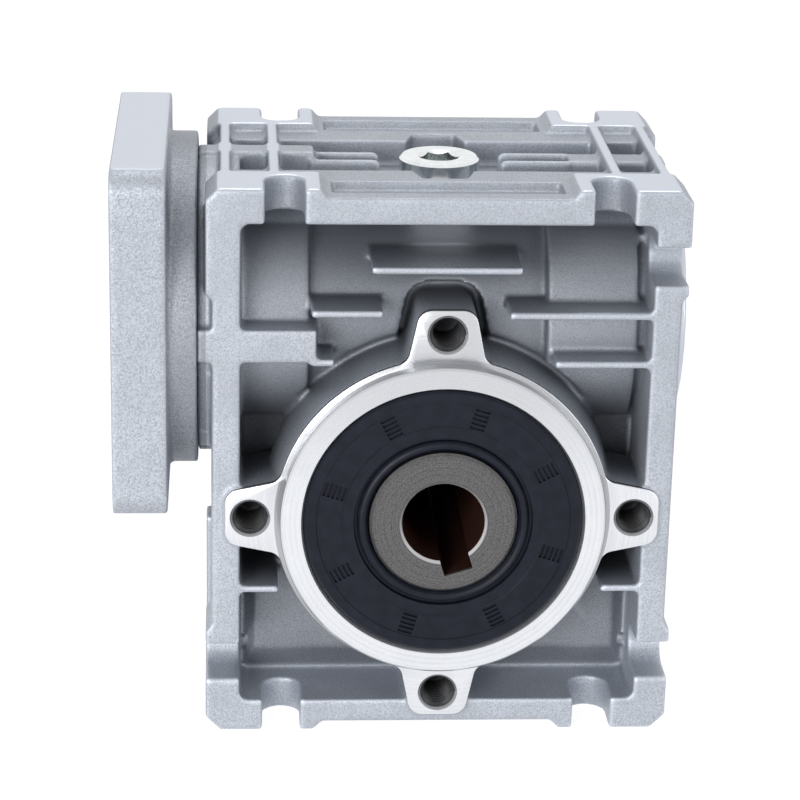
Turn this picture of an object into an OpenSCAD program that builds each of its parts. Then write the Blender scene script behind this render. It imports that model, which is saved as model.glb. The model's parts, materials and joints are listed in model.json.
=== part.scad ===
// Worm gear reducer, 30 mm centre distance, with a hollow output shaft and a square motor flange.
// X runs along the worm axis, away from the motor flange. Y runs along the output axis, away from
// the front face. Z is up. The origin is the middle of the output bore. All lengths are in mm.

/* [Gear set] */
// Distance between the output axis and the worm axis
centre_distance = 30; // [28:0.5:30.5]
// Teeth of the wheel, which is also the reduction of the single-start worm
wheel_teeth = 30; // [28:1:32]
// Pitch diameter of the worm
worm_pitch_d = 16.8; // [15.6:0.1:17.2]
// Length of the worm thread
thread_len = 26; // [20:1:30]
// Width of the wheel rim
rim_w = 16; // [12:0.5:16.5]
// Diameter of the wheel rim's bore
rim_bore_d = 33; // [31:0.5:35]
// Play of the teeth along the pitch circle
tooth_play = 0.36; // [0.3:0.02:0.5]

/* [Housing] */
// Width of the body over its side pads
body_w = 80; // [78:0.5:84]
// Depth of the body from front to back
body_d = 56; // [55:0.5:57]
// Height of the output axis over the lower pads
foot_drop = 40; // [40:0.5:44]
// Height of the upper pads over the output axis
top_rise = 57; // [57:0.5:60]
// Thickness of the side bars
side_bar = 4.8; // [4:0.1:5.2]
// How far the pads stand proud of the top and bottom bars
pad_rise = 1.45; // [1:0.05:2]
// How far the bars stand back between the pads
bar_back = 0.7; // [0.2:0.1:1]
// Depth of a pad from the front or back face
pad_d = 11.8; // [11:0.1:12.5]
// Length of a top or bottom pad along X
pad_l = 18.7; // [17.5:0.1:19.5]
// Width of the mounting slots
slot_w = 6.5; // [5.5:0.1:7]
// Spacing of the mounting slots along X
slot_pitch = 54; // [52:0.5:55]
// Spacing of the mounting slots along Y
slot_row = 44; // [43:0.5:45]
// Distance of the side slots from the top or bottom pads
side_slot_in = 13; // [12:0.5:14]
// Thickness of the fins in the front and back pockets
fin_t = 1.25; // [1:0.05:1.6]
// Thickness of the thin ribs between the pads
rib_t = 1.8; // [1.4:0.1:2.2]
// Width of the lugs that meet the motor flange
lug_w = 5.6; // [5.4:0.1:6.4]
// Half depth of the solid middle web
web_half = 9; // [6:0.5:9.5]
// Half depth of the gear case
case_half = 17; // [15:0.5:18]

/* [Output side] */
// Bore of the hollow output shaft
output_bore_d = 14; // [12:0.5:15]
// Outer diameter of the hollow output shaft at its bearings
output_hub_d = 25; // [24:0.5:25.5]
// Length of the hollow output shaft
hub_len = 63; // [62:0.5:65]
// Width of the output keyway
key_w = 5; // [4:0.5:5]
// Height of the keyway over the far side of the bore
key_top = 16.3; // [15.5:0.1:16.5]
// Angle of the keyway from straight down
key_angle = 17.4; // [0:0.2:90]
// Wall of the centring ring round the output seal
ring_wall = 4; // [3.5:0.1:4.5]
// Height of the centring ring over the ears
pilot_h = 2.5; // [2:0.1:3]
// Distance of the ear holes outside the centring ring
ear_out = 5; // [4.5:0.1:5.5]
// Reach of an ear past the middle of its hole
ear_reach = 4.25; // [4:0.05:5]
// Half width of an ear at its hole
ear_half = 5.5; // [5:0.1:6]
// Major diameter of the threaded holes in the ears
ear_hole_d = 6; // [5:0.5:6.5]
// Depth of the threaded holes
ear_hole_depth = 10; // [8:0.5:10]
// Clearance holes in the ears of the rear cover
rear_ear_hole_d = 6.4; // [6.4:0.1:7]
// Outer diameter of the output bearings and seals
output_seat_d = 47; // [46:0.5:47.5]
// Width of an output bearing
output_brg_w = 12; // [11:0.5:12.5]
// Ball diameter of the output bearings
output_ball_d = 6.35; // [5.5:0.05:6.5]
// Width of the shaft seals
seal_w = 7; // [6:0.5:7.5]

/* [Input side] */
// Bore of the hollow worm shaft
input_bore_d = 8; // [6.5:0.5:9]
// Depth of the bore in the worm shaft
input_bore_depth = 24; // [18:1:26]
// Outer diameter of the worm shaft at the input bearing
input_journal_d = 20; // [19:0.5:20.5]
// Outer diameter of the input bearing and seal
input_seat_d = 37; // [36:0.5:37.5]
// Diameter of the far journal of the worm
end_journal_d = 15; // [14:0.5:15.5]
// Outer diameter of the far bearing and the end cap
end_seat_d = 32; // [31:0.5:32.5]
// Width of the worm bearings
worm_brg_w = 9; // [8:0.5:9]
// Ball diameter of the worm bearings
worm_ball_d = 4.75; // [4.2:0.05:5]
// Thickness of the retaining rings
clip_t = 1.2; // [1:0.1:1.2]
// Height of the round spigot that carries the motor flange
spigot_h = 1.4; // [1:0.1:2]
// Diameter of the round spigot
spigot_d = 52; // [50:0.5:53]

/* [Motor flange] */
// Side of the square motor flange
flange_side = 60; // [58:0.1:62]
// Thickness of the square part
flange_t = 9.2; // [8:0.1:12]
// Corner radius of the square part
flange_corner_r = 4; // [2:0.5:6]
// Thickness of the round boss behind the square part
flange_boss_t = 4.9; // [4.5:0.1:7]
// Diameter of the round boss
flange_boss_d = 57.5; // [56:0.1:58]
// Diameter of the motor's centring recess
motor_pilot_d = 38.1; // [36:0.1:38.5]
// Depth of the motor's centring recess
motor_pilot_depth = 2.5; // [1.6:0.1:3]
// Spacing of the motor's bolt holes
motor_bolt_pitch = 47.14; // [46.5:0.02:47.5]
// Diameter of the motor's bolt holes
motor_bolt_d = 5.2; // [4.5:0.1:5.5]
// Pitch circle of the screws that hold the flange to the housing
flange_screw_pcd = 48; // [47:0.5:49]

/* [Cover and plug] */
// Wall of the cover's spigot round the rear bearing
cover_wall = 3.1; // [2.9:0.1:3.3]
// Distance of the joint face of the cover from the middle
cover_joint_y = 18.8; // [18.8:0.1:19.4]
// Distance of the cover's screws outside the centring ring
cover_screw_out = 4; // [3.8:0.1:4.2]
// Thickness of the cover's screw lugs
cover_lug_t = 4; // [3:0.1:4.4]
// Head diameter of the oil plug
plug_head_d = 13.8; // [13:0.1:14]
// Head height of the oil plug
plug_head_h = 2.9; // [2.5:0.05:3]
// Thread diameter of the oil plug
plug_thread_d = 9.8; // [8:0.1:10]

/* [Hidden] */
$fn = 72;

// Clearances between pieces
fit = 0.02;          // seats that hold a piece fast
run = 0.05;          // seal lips and other faces that slide
brg_run = 0.06;      // balls in their races
loose = 0.3;         // cast faces that face each other
cut = 1;             // how far a cutter reaches past what it cuts

// Gear set
a = centre_distance;
gear_module = (2 * a - worm_pitch_d) / wheel_teeth;
lead = PI * gear_module;
worm_tip_r = worm_pitch_d / 2 + gear_module;
worm_root_r = worm_pitch_d / 2 - 1.2 * gear_module;
wheel_pitch_r = gear_module * wheel_teeth / 2;
wheel_tip_r = wheel_pitch_r + gear_module;
wheel_root_r = wheel_pitch_r - 1.2 * gear_module;
pressure_angle = 20;
lead_angle = atan(lead / (PI * worm_pitch_d));

// Planes of the body
half_w = body_w / 2;
half_d = body_d / 2;
wall_x = half_w - 1;                  // outer face of the side bars between their pads
inner_x = wall_x - side_bar;          // inner face of the side bars
bar_top = top_rise - pad_rise;        // upper face of the top bars
bar_bottom = -foot_drop + pad_rise;   // lower face of the bottom bars
bar_t = 4.6;                          // thickness of the top and bottom bars
inner_top = bar_top - bar_t;
inner_bottom = bar_bottom + bar_t - 0.4;
pad_y = half_d - pad_d;               // inner edge of a pad
lip_y = 10;                           // inner edge of the top and bottom bars
groove_inset = 3.8;                   // front lip of the grooves in the bars
groove_w = 6.7;
groove_depth = 1.5;
side_plate_h = 29.8;                  // height of the side faces' middle plates over the feet
corner_cut = 2;                       // chamfer on the corners of the frame
pad_slope = 1.25;                     // run of the slope at a pad's inner end
side_pad_top = 18;                    // length of the upper side pads, down from the top
side_pad_bottom = 18.5;               // length of the lower side pads, up from the bottom
slot_x = slot_pitch / 2;
slot_y = slot_row / 2;
left = -1;
right = 1;

// Output side, measured along Y from the middle
pilot_d = output_seat_d + 2 * ring_wall;
ring_y = hub_len / 2;
ear_y = ring_y - pilot_h;
ear_r = pilot_d / 2 + ear_out;
ear_corner_r = 2.6;
ear_taper = 0.22;                     // how much an ear widens for each length towards the drum
ear_root = 4;                         // how far the ears reach into the gear case
seal_y = ring_y - 0.1;
output_brg_y = seal_y - seal_w - 0.2;
shoulder_y = output_brg_y - output_brg_w;
shoulder_t = 2.4;
chamber_y = shoulder_y - shoulder_t;
chamber_r = wheel_tip_r + 1.4;
drum_r = pilot_d / 2 + 0.9;           // as-cast drum behind the centring ring, at the ears' plane
drum_root_r = drum_r + 1.4;
output_shoulder_r = output_seat_d / 2 - 2;
hub_collar_r = output_hub_d / 2 + 2;

// Input side, measured along X from the middle
spigot_x = wall_x + spigot_h + 1;
input_seal_x = spigot_x - 0.1;
clip_gap = 0.3;
worm_brg_x = input_seal_x - seal_w - clip_gap - clip_t;
worm_seat_x = worm_brg_x - worm_brg_w;
end_boss_x = half_w + 1;
end_cap_t = 4.8;
end_boss_r = end_seat_d / 2 + 5;
tube_r = 20;                          // cast wall round the middle of the worm
tube_end_r = 22.6;                    // cast wall round the worm bearings
low_fin_z = -14.2;                    // underside of the lower fins
worm_chamber_r = 12.5;
worm_collar_r = 11.8;
end_collar_r = 9.6;
worm_neck_r = 8;
worm_end_x = 50;                      // end of the worm shaft in the flange
flange_bore_d = 30;
flange_in_x = spigot_x;
flange_boss_x = flange_in_x + flange_boss_t;
flange_out_x = flange_boss_x + flange_t;

flange_hole_depth = 12;               // threaded holes for the flange's screws
flange_screw_reach = 11;              // length of these screws in the housing

// Cover
cover_spigot_d = output_seat_d + 2 * cover_wall;
cover_ring_r = drum_root_r;
cover_screw_r = pilot_d / 2 + cover_screw_out;
cover_screw_angle = 60;
cover_hole_depth = 6.4;               // threaded holes for the cover's screws
cover_screw_reach = 6;                // length of these screws in the housing
rear_thread_d = 5;                    // core of the threaded holes behind the cover's ears
rear_thread_depth = 5;
cover_lug_r = 4.9;
m4_d = 4;
m4_head_d = 7;
m4_head_h = 4;
m4_hex_af = 3;

// Plug
plug_top = bar_top;
washer_t = 0.8;
plug_boss_top = plug_top - plug_head_h - washer_t;
plug_boss_r = 7.6;
plug_hex_af = 6;
plug_shank_len = 8;

// Prism of the XZ outline from y0 to y1
module along_y(y0, y1) {
    translate([0, y1, 0])
        rotate([90, 0, 0])
            linear_extrude(y1 - y0)
                children();
}

// Prism of the YZ outline from x0 to x1
module along_x(x0, x1) {
    translate([x0, 0, 0])
        rotate([90, 0, 90])
            linear_extrude(x1 - x0)
                children();
}

// Cylinder or cone about the output axis
module disc_y(r, y0, y1, r_end = undef) {
    translate([0, y1, 0])
        rotate([90, 0, 0])
            cylinder(h = y1 - y0, r1 = is_undef(r_end) ? r : r_end, r2 = r);
}

// Cylinder or cone about the worm axis
module disc_x(r, x0, x1, r_end = undef) {
    translate([x0, 0, a])
        rotate([0, 90, 0])
            cylinder(h = x1 - x0, r1 = r, r2 = is_undef(r_end) ? r : r_end);
}

// Block between two opposite corners
module block(low, high) {
    translate(low)
        cube(high - low);
}

// The same in front and behind
module front_and_back() {
    children();
    mirror([0, 1, 0])
        children();
}

// The same on the left and on the right
module left_and_right() {
    children();
    mirror([1, 0, 0])
        children();
}

// Copies at the angles of the ears
module at_ears() {
    for (k = [0:3])
        rotate([0, 90 * k, 0])
            children();
}

// Copies at the cover's screws
module at_cover_screws() {
    for (sx = [left, right], sz = [-1, 1])
        translate([sx * cover_screw_r * cos(cover_screw_angle), 0,
                   sz * cover_screw_r * sin(cover_screw_angle)])
            children();
}

// Copies at the flange's screws
module at_flange_screws() {
    for (k = [0:3])
        translate([0, 0, a])
            rotate([90 * k, 0, 0])
                translate([0, 0, flange_screw_pcd / 2])
                    children();
}

// Outline of one ear that points up, grown by a margin
module ear_outline(grow = 0) {
    tip = ear_r + ear_reach + grow;
    r = ear_corner_r + grow;
    tip_half = ear_half - ear_taper * (ear_reach - ear_corner_r) + grow;
    base_z = drum_r - 3;
    base_half = ear_half + ear_taper * (ear_r - base_z) + grow;
    corner = [for (t = [0:22.5:90]) [tip_half - r + r * cos(t), tip - r + r * sin(t)]];
    right_side = concat([[base_half, base_z]], corner);
    left_side = [for (i = [len(right_side) - 1:-1:0]) [-right_side[i][0], right_side[i][1]]];
    polygon(concat(right_side, left_side));
}

// All four ears as a prism
module ears(y0, y1, grow = 0) {
    at_ears()
        along_y(y0, y1)
            ear_outline(grow);
}

// Threaded holes of the ears, which open towards -Y
module ear_holes(y_face, depth) {
    at_ears()
        translate([0, 0, ear_r]) {
            disc_y(ear_hole_d / 2, y_face - cut, y_face + depth);
            disc_y(ear_hole_d / 2 + 0.35 + cut, y_face - cut, y_face + 0.35, ear_hole_d / 2);
        }
}

// Outline of the frame: upper and lower pads, side pads and chamfered corners
module frame_outline_pads() {
    pad_in = half_w - pad_l;
    foot_in = pad_in - pad_slope;
    upper_end = top_rise - side_pad_top;
    lower_end = -foot_drop + side_pad_bottom;
    right_side = [[foot_in, bar_bottom], [pad_in, -foot_drop], [half_w - corner_cut - 0.5, -foot_drop],
                  [half_w, -foot_drop + corner_cut + 0.5], [half_w, lower_end], [wall_x, lower_end + 1.4],
                  [wall_x, upper_end - 1], [half_w, upper_end], [half_w, top_rise - corner_cut],
                  [half_w - corner_cut, top_rise], [pad_in, top_rise], [foot_in, bar_top]];
    left_side = [for (i = [len(right_side) - 1:-1:0]) [-right_side[i][0], right_side[i][1]]];
    polygon(concat(right_side, left_side));
}

// Outline of the frame between its pads
module frame_outline_bars() {
    polygon([[-wall_x + corner_cut, bar_bottom], [wall_x - corner_cut, bar_bottom],
             [wall_x, bar_bottom + corner_cut], [wall_x, bar_top - corner_cut],
             [wall_x - corner_cut, bar_top], [-wall_x + corner_cut, bar_top],
             [-wall_x, bar_top - corner_cut], [-wall_x, bar_bottom + corner_cut]]);
}

// Rectangle with true round corners
module round_rect(x0, y0, x1, y1, r) {
    translate([x0 + r, y0])
        square([x1 - x0 - 2 * r, y1 - y0]);
    translate([x0, y0 + r])
        square([x1 - x0, y1 - y0 - 2 * r]);
    for (x = [x0 + r, x1 - r], y = [y0 + r, y1 - r])
        translate([x, y])
            circle(r);
}

// Window inside the frame
module frame_window() {
    round_rect(-inner_x, inner_bottom, inner_x, inner_top, 1.5);
}

// Long step that lets the bars stand back between the pads, and the notch beside the plug
module bar_recess() {
    pad_in = half_w - pad_l;
    translate([0, 0, -foot_drop])
        linear_extrude(foot_drop + top_rise)
            polygon([[-pad_in + 0.1, -half_d - cut], [-pad_in + 0.1, -half_d],
                     [-pad_in + pad_slope, -half_d + bar_back], [pad_in - pad_slope, -half_d + bar_back],
                     [pad_in - 0.1, -half_d], [pad_in - 0.1, -half_d - cut]]);
    translate([0, 0, inner_top - cut])
        linear_extrude(bar_t + 2 * cut)
            polygon([[-5.4, -lip_y + cut], [-3.8, -lip_y - 4.8], [3.8, -lip_y - 4.8], [5.4, -lip_y + cut]]);
}

// Front and back frames, with their pads
module frames() {
    front_and_back() {
        difference() {
            along_y(-half_d, -lip_y)
                difference() {
                    frame_outline_bars();
                    frame_window();
                }
            bar_recess();
        }
        along_y(-half_d, -pad_y)
            difference() {
                frame_outline_pads();
                frame_window();
            }
    }
}

// Open slots in the pads: top, bottom, right side and lower left side
module slot_cutter(length) {
    front_and_back() {
        translate([0, -slot_y, 0])
            cylinder(h = length, d = slot_w);
        block([-slot_w / 2, -half_d - cut, 0], [slot_w / 2, -slot_y, length]);
    }
}

module mounting_slots() {
    depth = top_rise - inner_top + 2 * cut;
    for (s = [left, right]) {
        translate([s * slot_x, 0, inner_top - cut])
            slot_cutter(depth);
        translate([s * slot_x, 0, -foot_drop - cut])
            slot_cutter(depth);
    }
    side_depth = side_bar + 1 + 2 * cut;
    low_z = -foot_drop + side_slot_in;
    high_z = top_rise - side_slot_in;
    translate([inner_x - cut, 0, high_z])
        rotate([0, 90, 0])
            slot_cutter(side_depth);
    left_and_right()
        translate([inner_x - cut, 0, low_z])
            rotate([0, 90, 0])
                slot_cutter(side_depth);
}

// Long grooves in the top and bottom bars
module bar_grooves() {
    groove_half_l = half_w - pad_l - pad_slope - 0.8;
    front_and_back()
        for (z = [bar_top - groove_depth, bar_bottom - cut])
            block([-groove_half_l, -half_d + groove_inset, z],
                  [groove_half_l, -half_d + groove_inset + groove_w, z + groove_depth + cut]);
}

// Thin ribs that tie the front and back frames together
module tie_ribs() {
    outer_rib = wall_x - 3.1;
    inner_rib = slot_x + 0.7;
    left_and_right() {
        for (x = [inner_rib, outer_rib]) {
            block([x, -pad_y, inner_top + 0.3], [x + rib_t, pad_y, top_rise]);
            block([x, -pad_y, -foot_drop], [x + rib_t, pad_y, inner_bottom - 0.3]);
        }
        block([inner_x - 1, -pad_y, -foot_drop + side_slot_in - 2.5],
              [wall_x + 0.5, pad_y, -foot_drop + side_slot_in - 2.5 + rib_t]);
    }
    block([inner_x - 1, -pad_y, top_rise - side_slot_in + 0.6],
          [wall_x + 0.5, pad_y, top_rise - side_slot_in + 0.6 + rib_t]);
}

// Middle plates and twin fins of the top and bottom faces, and of the side faces
module middle_plates() {
    plate_half = 2.9;
    fin_y = 3.2;
    fin_end = 10.3;
    pad_in = half_w - pad_l;
    for (z = [inner_top - 1, bar_bottom]) {
        top = z > 0 ? bar_top - 0.2 : inner_bottom + 1;
        block([pad_in + 1, -plate_half, z], [wall_x, plate_half, top]);
        left_and_right()
            front_and_back()
                along_y(-fin_y, -fin_y + fin_t)
                    polygon([[fin_end, z], [fin_end, top - 1], [fin_end + 0.3, top - 0.3],
                             [fin_end + 1, top], [pad_in + 1, top], [pad_in + 1, z]]);
    }
    block([-wall_x, -plate_half, bar_bottom], [-pad_in - 1, plate_half, inner_bottom + 1]);
    left_and_right()
        block([inner_x - 1, -plate_half, bar_bottom + 2], [half_w, plate_half, -foot_drop + side_plate_h]);
}

// Four lugs that meet the motor flange
module flange_lugs() {
    lug_end = half_w - pad_l + 0.3;
    reach = flange_screw_pcd / 2 + m4_d / 2 + 0.65;
    front_and_back()
        block([-spigot_x, -half_d, a - lug_w / 2], [-lug_end, -tube_r + 2, a + lug_w / 2]);
    block([-spigot_x, -lug_w / 2 + 0.2, a + tube_r - 2],
          [-lug_end, lug_w / 2 - 0.2, max(top_rise - 0.35, a + reach)]);
    block([-spigot_x, -lug_w / 2, a - flange_screw_pcd / 2 - 3.6], [-inner_x, lug_w / 2, a - tube_r + 2]);
}

// Fins that stand in the front and back pockets
module pocket_fin(x0, x1, z) {
    block([x0, -half_d, z], [x1, -tube_r / 2, z + fin_t]);
}

module pocket_fins() {
    pitch = 8.1;
    top_fin = a + 12.5;
    front_and_back() {
        pocket_fin(-12.6, 12.2, top_fin);
        pocket_fin(-22.5, -10.6, top_fin - pitch + 0.6);
        pocket_fin(10.4, inner_x + 0.5, top_fin - pitch + 0.4);
        pocket_fin(18.2, inner_x + 0.5, top_fin - 2 * pitch);
        pocket_fin(-22.5, -18.6, top_fin - 2 * pitch + 0.2);
        left_and_right()
            pocket_fin(27.6, inner_x + 0.5, low_fin_z);
    }
}

// Worm tube with its thicker ends
module worm_tube() {
    under = a - 16;
    disc_x(tube_r, -inner_x - 1, inner_x + 1);
    intersection() {
        union() {
            disc_x(tube_end_r, -inner_x - 1, -22.7);
            disc_x(tube_end_r, 17.3, inner_x - 1.6);
        }
        block([-half_w, -half_d, under], [half_w, half_d, top_rise - 1]);
    }
    block([-inner_x - 1, -lip_y, a], [inner_x + 1, lip_y, inner_top + 0.2]);
}

// Gear case: a block with sloped edges that widen towards the middle web
module gear_case() {
    case_x = inner_x - 2.8;
    case_z = inner_bottom + 5;
    slope = 3.2;
    case_top = low_fin_z + fin_t;
    intersection() {
        along_x(-inner_x - 1, inner_x + 1)
            polygon([[-case_half, case_top], [-case_half, case_z], [-case_half + slope, inner_bottom - 1],
                     [case_half - slope, inner_bottom - 1], [case_half, case_z], [case_half, case_top]]);
        translate([0, 0, inner_bottom - 1])
            linear_extrude(case_top - inner_bottom + 1)
                polygon([[-case_x, -case_half], [case_x, -case_half], [inner_x + 1, -case_half + slope],
                         [inner_x + 1, case_half - slope], [case_x, case_half], [-case_x, case_half],
                         [-inner_x - 1, case_half - slope], [-inner_x - 1, -case_half + slope]]);
    }
    shoulder_x = inner_x - 6.3;
    block([-shoulder_x, -case_half, case_top - 1], [shoulder_x, case_half, 0]);
    block([-inner_x - 1, -web_half, inner_bottom - 1], [inner_x + 1, web_half, a]);
}

// Everything of the housing before it is machined
module housing_casting() {
    difference() {
        union() {
            frames();
            tie_ribs();
            middle_plates();
            worm_tube();
            gear_case();
            pocket_fins();
            disc_x(spigot_d / 2, -spigot_x, -inner_x);
            disc_x(end_boss_r, inner_x, end_boss_x);
            // Seat of the output cover behind
            disc_y(drum_root_r + 1.4, web_half - 1, cover_joint_y);
            ears(web_half - 1, cover_joint_y);
            at_cover_screws()
                disc_y(cover_lug_r, web_half - 1, cover_joint_y);
        }
        bar_grooves();
        // Relief round the front drum and the upper ear
        disc_y(drum_root_r + 0.9, -half_d - 3, -tube_r + 1);
        intersection() {
            ears(-half_d - 3, -15.3, 1.6);
            block([-half_w, -half_d - 3, 0], [half_w, 0, top_rise]);
            disc_y(ear_r + ear_reach + 4, -half_d - 3, -15.3);
            block([-14, -half_d - 3, 0], [14, 0, top_rise]);
        }
        // Room for the cover
        disc_y(cover_ring_r + loose, cover_joint_y, half_d + 3);
        ears(cover_joint_y, half_d + 3, loose);
        at_cover_screws()
            disc_y(cover_lug_r + loose, cover_joint_y, half_d + 3);
    }
    flange_lugs();
    disc_y(drum_r, -ear_y, -case_half + 1, drum_root_r);
    ears(-ear_y, -case_half + ear_root);
    disc_y(pilot_d / 2 - 0.4, -ring_y, -ring_y + 0.4, pilot_d / 2);
    disc_y(pilot_d / 2, -ring_y + 0.4, -ear_y + 1);
    boss_root = a + tube_r - 3;
    translate([0, 0, boss_root])
        cylinder(h = plug_boss_top - boss_root, r = plug_boss_r);
}

// Die-cast housing
module housing() {
    color([0.72, 0.75, 0.79])
        difference() {
            housing_casting();
            mounting_slots();
            ear_holes(-ear_y, ear_hole_depth);
            // Front seal and bearing seat, shoulder, wheel chamber and rear opening
            disc_y(output_seat_d / 2, -ring_y - cut, -shoulder_y);
            disc_y(output_seat_d / 2 + 0.5 + cut, -ring_y - cut, -ring_y + 0.5, output_seat_d / 2);
            disc_y(output_shoulder_r, -shoulder_y - cut, -chamber_y + cut);
            disc_y(chamber_r, -chamber_y, chamber_y + cut);
            disc_y(cover_spigot_d / 2 + 0.05, chamber_y, cover_joint_y + cut);
            // Worm bores with their snap ring grooves
            disc_x(input_seat_d / 2, -spigot_x - cut, -worm_seat_x);
            disc_x(worm_chamber_r, -worm_seat_x - cut, worm_seat_x + cut);
            disc_x(end_seat_d / 2, worm_seat_x, end_boss_x + cut);
            disc_x(input_seat_d / 2 + 0.9, -worm_brg_x - clip_t - 0.05, -worm_brg_x);
            disc_x(end_seat_d / 2 + 0.85, worm_brg_x, worm_brg_x + clip_t + 0.05);
            // Plug hole with its spot face, and screw holes
            translate([0, 0, a])
                cylinder(h = top_rise, d = plug_thread_d + 0.2);
            translate([0, 0, plug_boss_top])
                cylinder(h = top_rise - plug_boss_top + cut, r = plug_boss_r);
            at_flange_screws()
                translate([-spigot_x - cut, 0, 0])
                    rotate([0, 90, 0])
                        cylinder(h = flange_hole_depth + cut, d = m4_d);
            at_cover_screws()
                disc_y(m4_d / 2, cover_joint_y - cover_hole_depth, cover_joint_y + cut);
            at_ears()
                translate([0, 0, ear_r])
                    disc_y(rear_thread_d / 2, cover_joint_y - rear_thread_depth, cover_joint_y + cut);
        }
}

// Rear bearing cover with its own centring ring and ears
module output_cover() {
    color([0.74, 0.77, 0.8])
        difference() {
            union() {
                disc_y(cover_ring_r, cover_joint_y, ear_y, drum_r);
                ears(cover_joint_y, ear_y);
                at_cover_screws()
                    disc_y(cover_lug_r, cover_joint_y, cover_joint_y + cover_lug_t);
                disc_y(pilot_d / 2, ear_y - 1, ring_y - 0.4);
                disc_y(pilot_d / 2, ring_y - 0.4, ring_y, pilot_d / 2 - 0.4);
                disc_y(cover_spigot_d / 2, chamber_y + 0.1, cover_joint_y + 1);
            }
            at_ears()
                translate([0, 0, ear_r])
                    disc_y(rear_ear_hole_d / 2, cover_joint_y - cut, ear_y + cut);
            at_cover_screws() {
                disc_y(m4_d / 2 + 0.2, cover_joint_y - cut, ear_y);
                disc_y(m4_head_d / 2 + 0.2, cover_joint_y + cover_lug_t, ring_y + cut);
            }
            disc_y(output_shoulder_r, chamber_y, shoulder_y + cut);
            disc_y(output_seat_d / 2, shoulder_y, ring_y + cut);
            disc_y(output_seat_d / 2, ring_y - 0.5, ring_y + cut, output_seat_d / 2 + 0.5 + cut);
            cover_ring_groove();
        }
}

o_ring_r = 0.6;
o_ring_y = chamber_y + 5;

// Groove of the cover's o-ring
module cover_ring_groove() {
    difference() {
        disc_y(cover_spigot_d / 2 + cut, o_ring_y - o_ring_r - 0.1, o_ring_y + o_ring_r + 0.1);
        disc_y(cover_spigot_d / 2 - 2 * o_ring_r - 0.05, o_ring_y - 2, o_ring_y + 2);
    }
}

module cover_o_ring() {
    color([0.06, 0.06, 0.07])
        translate([0, o_ring_y, 0])
            rotate([90, 0, 0])
                rotate_extrude()
                    translate([cover_spigot_d / 2 - o_ring_r - 0.01, 0])
                        circle(o_ring_r, $fn = 24);
}

// Socket screw that points towards -Z, with its head's underside at Z = 0
module socket_screw(length) {
    difference() {
        union() {
            cylinder(h = m4_head_h, d = m4_head_d);
            translate([0, 0, -length])
                cylinder(h = length, d = m4_d - 0.1);
        }
        translate([0, 0, m4_head_h - 2])
            cylinder(h = 2 + cut, d = m4_hex_af / cos(30), $fn = 6);
    }
}

module cover_screws() {
    color([0.25, 0.25, 0.27])
        at_cover_screws()
            translate([0, cover_joint_y + cover_lug_t, 0])
                rotate([-90, 0, 0])
                    socket_screw(cover_lug_t + cover_screw_reach);
}

flange_screw_head_x = flange_in_x + 4.5;

// Square motor flange with its round boss
module input_flange() {
    pilot_r = motor_pilot_d / 2;
    half = flange_side / 2;
    color([0.73, 0.75, 0.79])
        difference() {
            union() {
                translate([0, 0, a])
                    along_x(-flange_out_x, -flange_boss_x)
                        round_rect(-half, -half, half, half, flange_corner_r);
                disc_x(flange_boss_d / 2, -flange_boss_x - 1, -flange_in_x);
            }
            disc_x(pilot_r, -flange_out_x - cut, -flange_out_x + motor_pilot_depth);
            disc_x(flange_bore_d / 2, -flange_out_x, -flange_in_x + cut);
            translate([0, 0, a])
                for (y = [-1, 1], z = [-1, 1])
                    translate([-flange_out_x - cut, y * motor_bolt_pitch / 2, z * motor_bolt_pitch / 2])
                        rotate([0, 90, 0])
                            cylinder(h = flange_t + 2 * cut, d = motor_bolt_d);
            at_flange_screws()
                rotate([0, 90, 0]) {
                    translate([0, 0, -flange_out_x - cut])
                        cylinder(h = flange_out_x - flange_screw_head_x + cut, d = m4_head_d + 0.5);
                    translate([0, 0, -flange_screw_head_x - cut])
                        cylinder(h = flange_boss_t + 2 * cut, d = m4_d + 0.4);
                }
        }
}

module flange_screws() {
    color([0.25, 0.25, 0.27])
        at_flange_screws()
            translate([-flange_screw_head_x, 0, 0])
                rotate([0, -90, 0])
                    socket_screw(flange_screw_head_x - flange_in_x + flange_screw_reach);
}

// Oil plug with a countersunk hexagon socket
module oil_plug() {
    head_bottom = plug_top - plug_head_h;
    rim = 0.45;
    color([0.78, 0.8, 0.78])
        difference() {
            union() {
                translate([0, 0, head_bottom])
                    cylinder(h = plug_head_h - rim, d = plug_head_d);
                translate([0, 0, plug_top - rim])
                    cylinder(h = rim, r1 = plug_head_d / 2, r2 = plug_head_d / 2 - rim);
                translate([0, 0, head_bottom - plug_shank_len])
                    cylinder(h = plug_shank_len + 0.5, d = plug_thread_d);
            }
            translate([0, 0, plug_top - 4])
                cylinder(h = 4 + cut, d = plug_hex_af / cos(30), $fn = 6);
            translate([0, 0, plug_top - 0.55])
                cylinder(h = 0.56, r1 = plug_hex_af / 2, r2 = plug_hex_af / 2 + 0.75);
        }
}

module plug_washer() {
    color([0.7, 0.71, 0.72])
        translate([0, 0, plug_boss_top])
            difference() {
                cylinder(h = washer_t, d = plug_head_d - 1.2);
                translate([0, 0, -cut])
                    cylinder(h = washer_t + 2 * cut, d = plug_thread_d + 0.2);
            }
}

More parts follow.
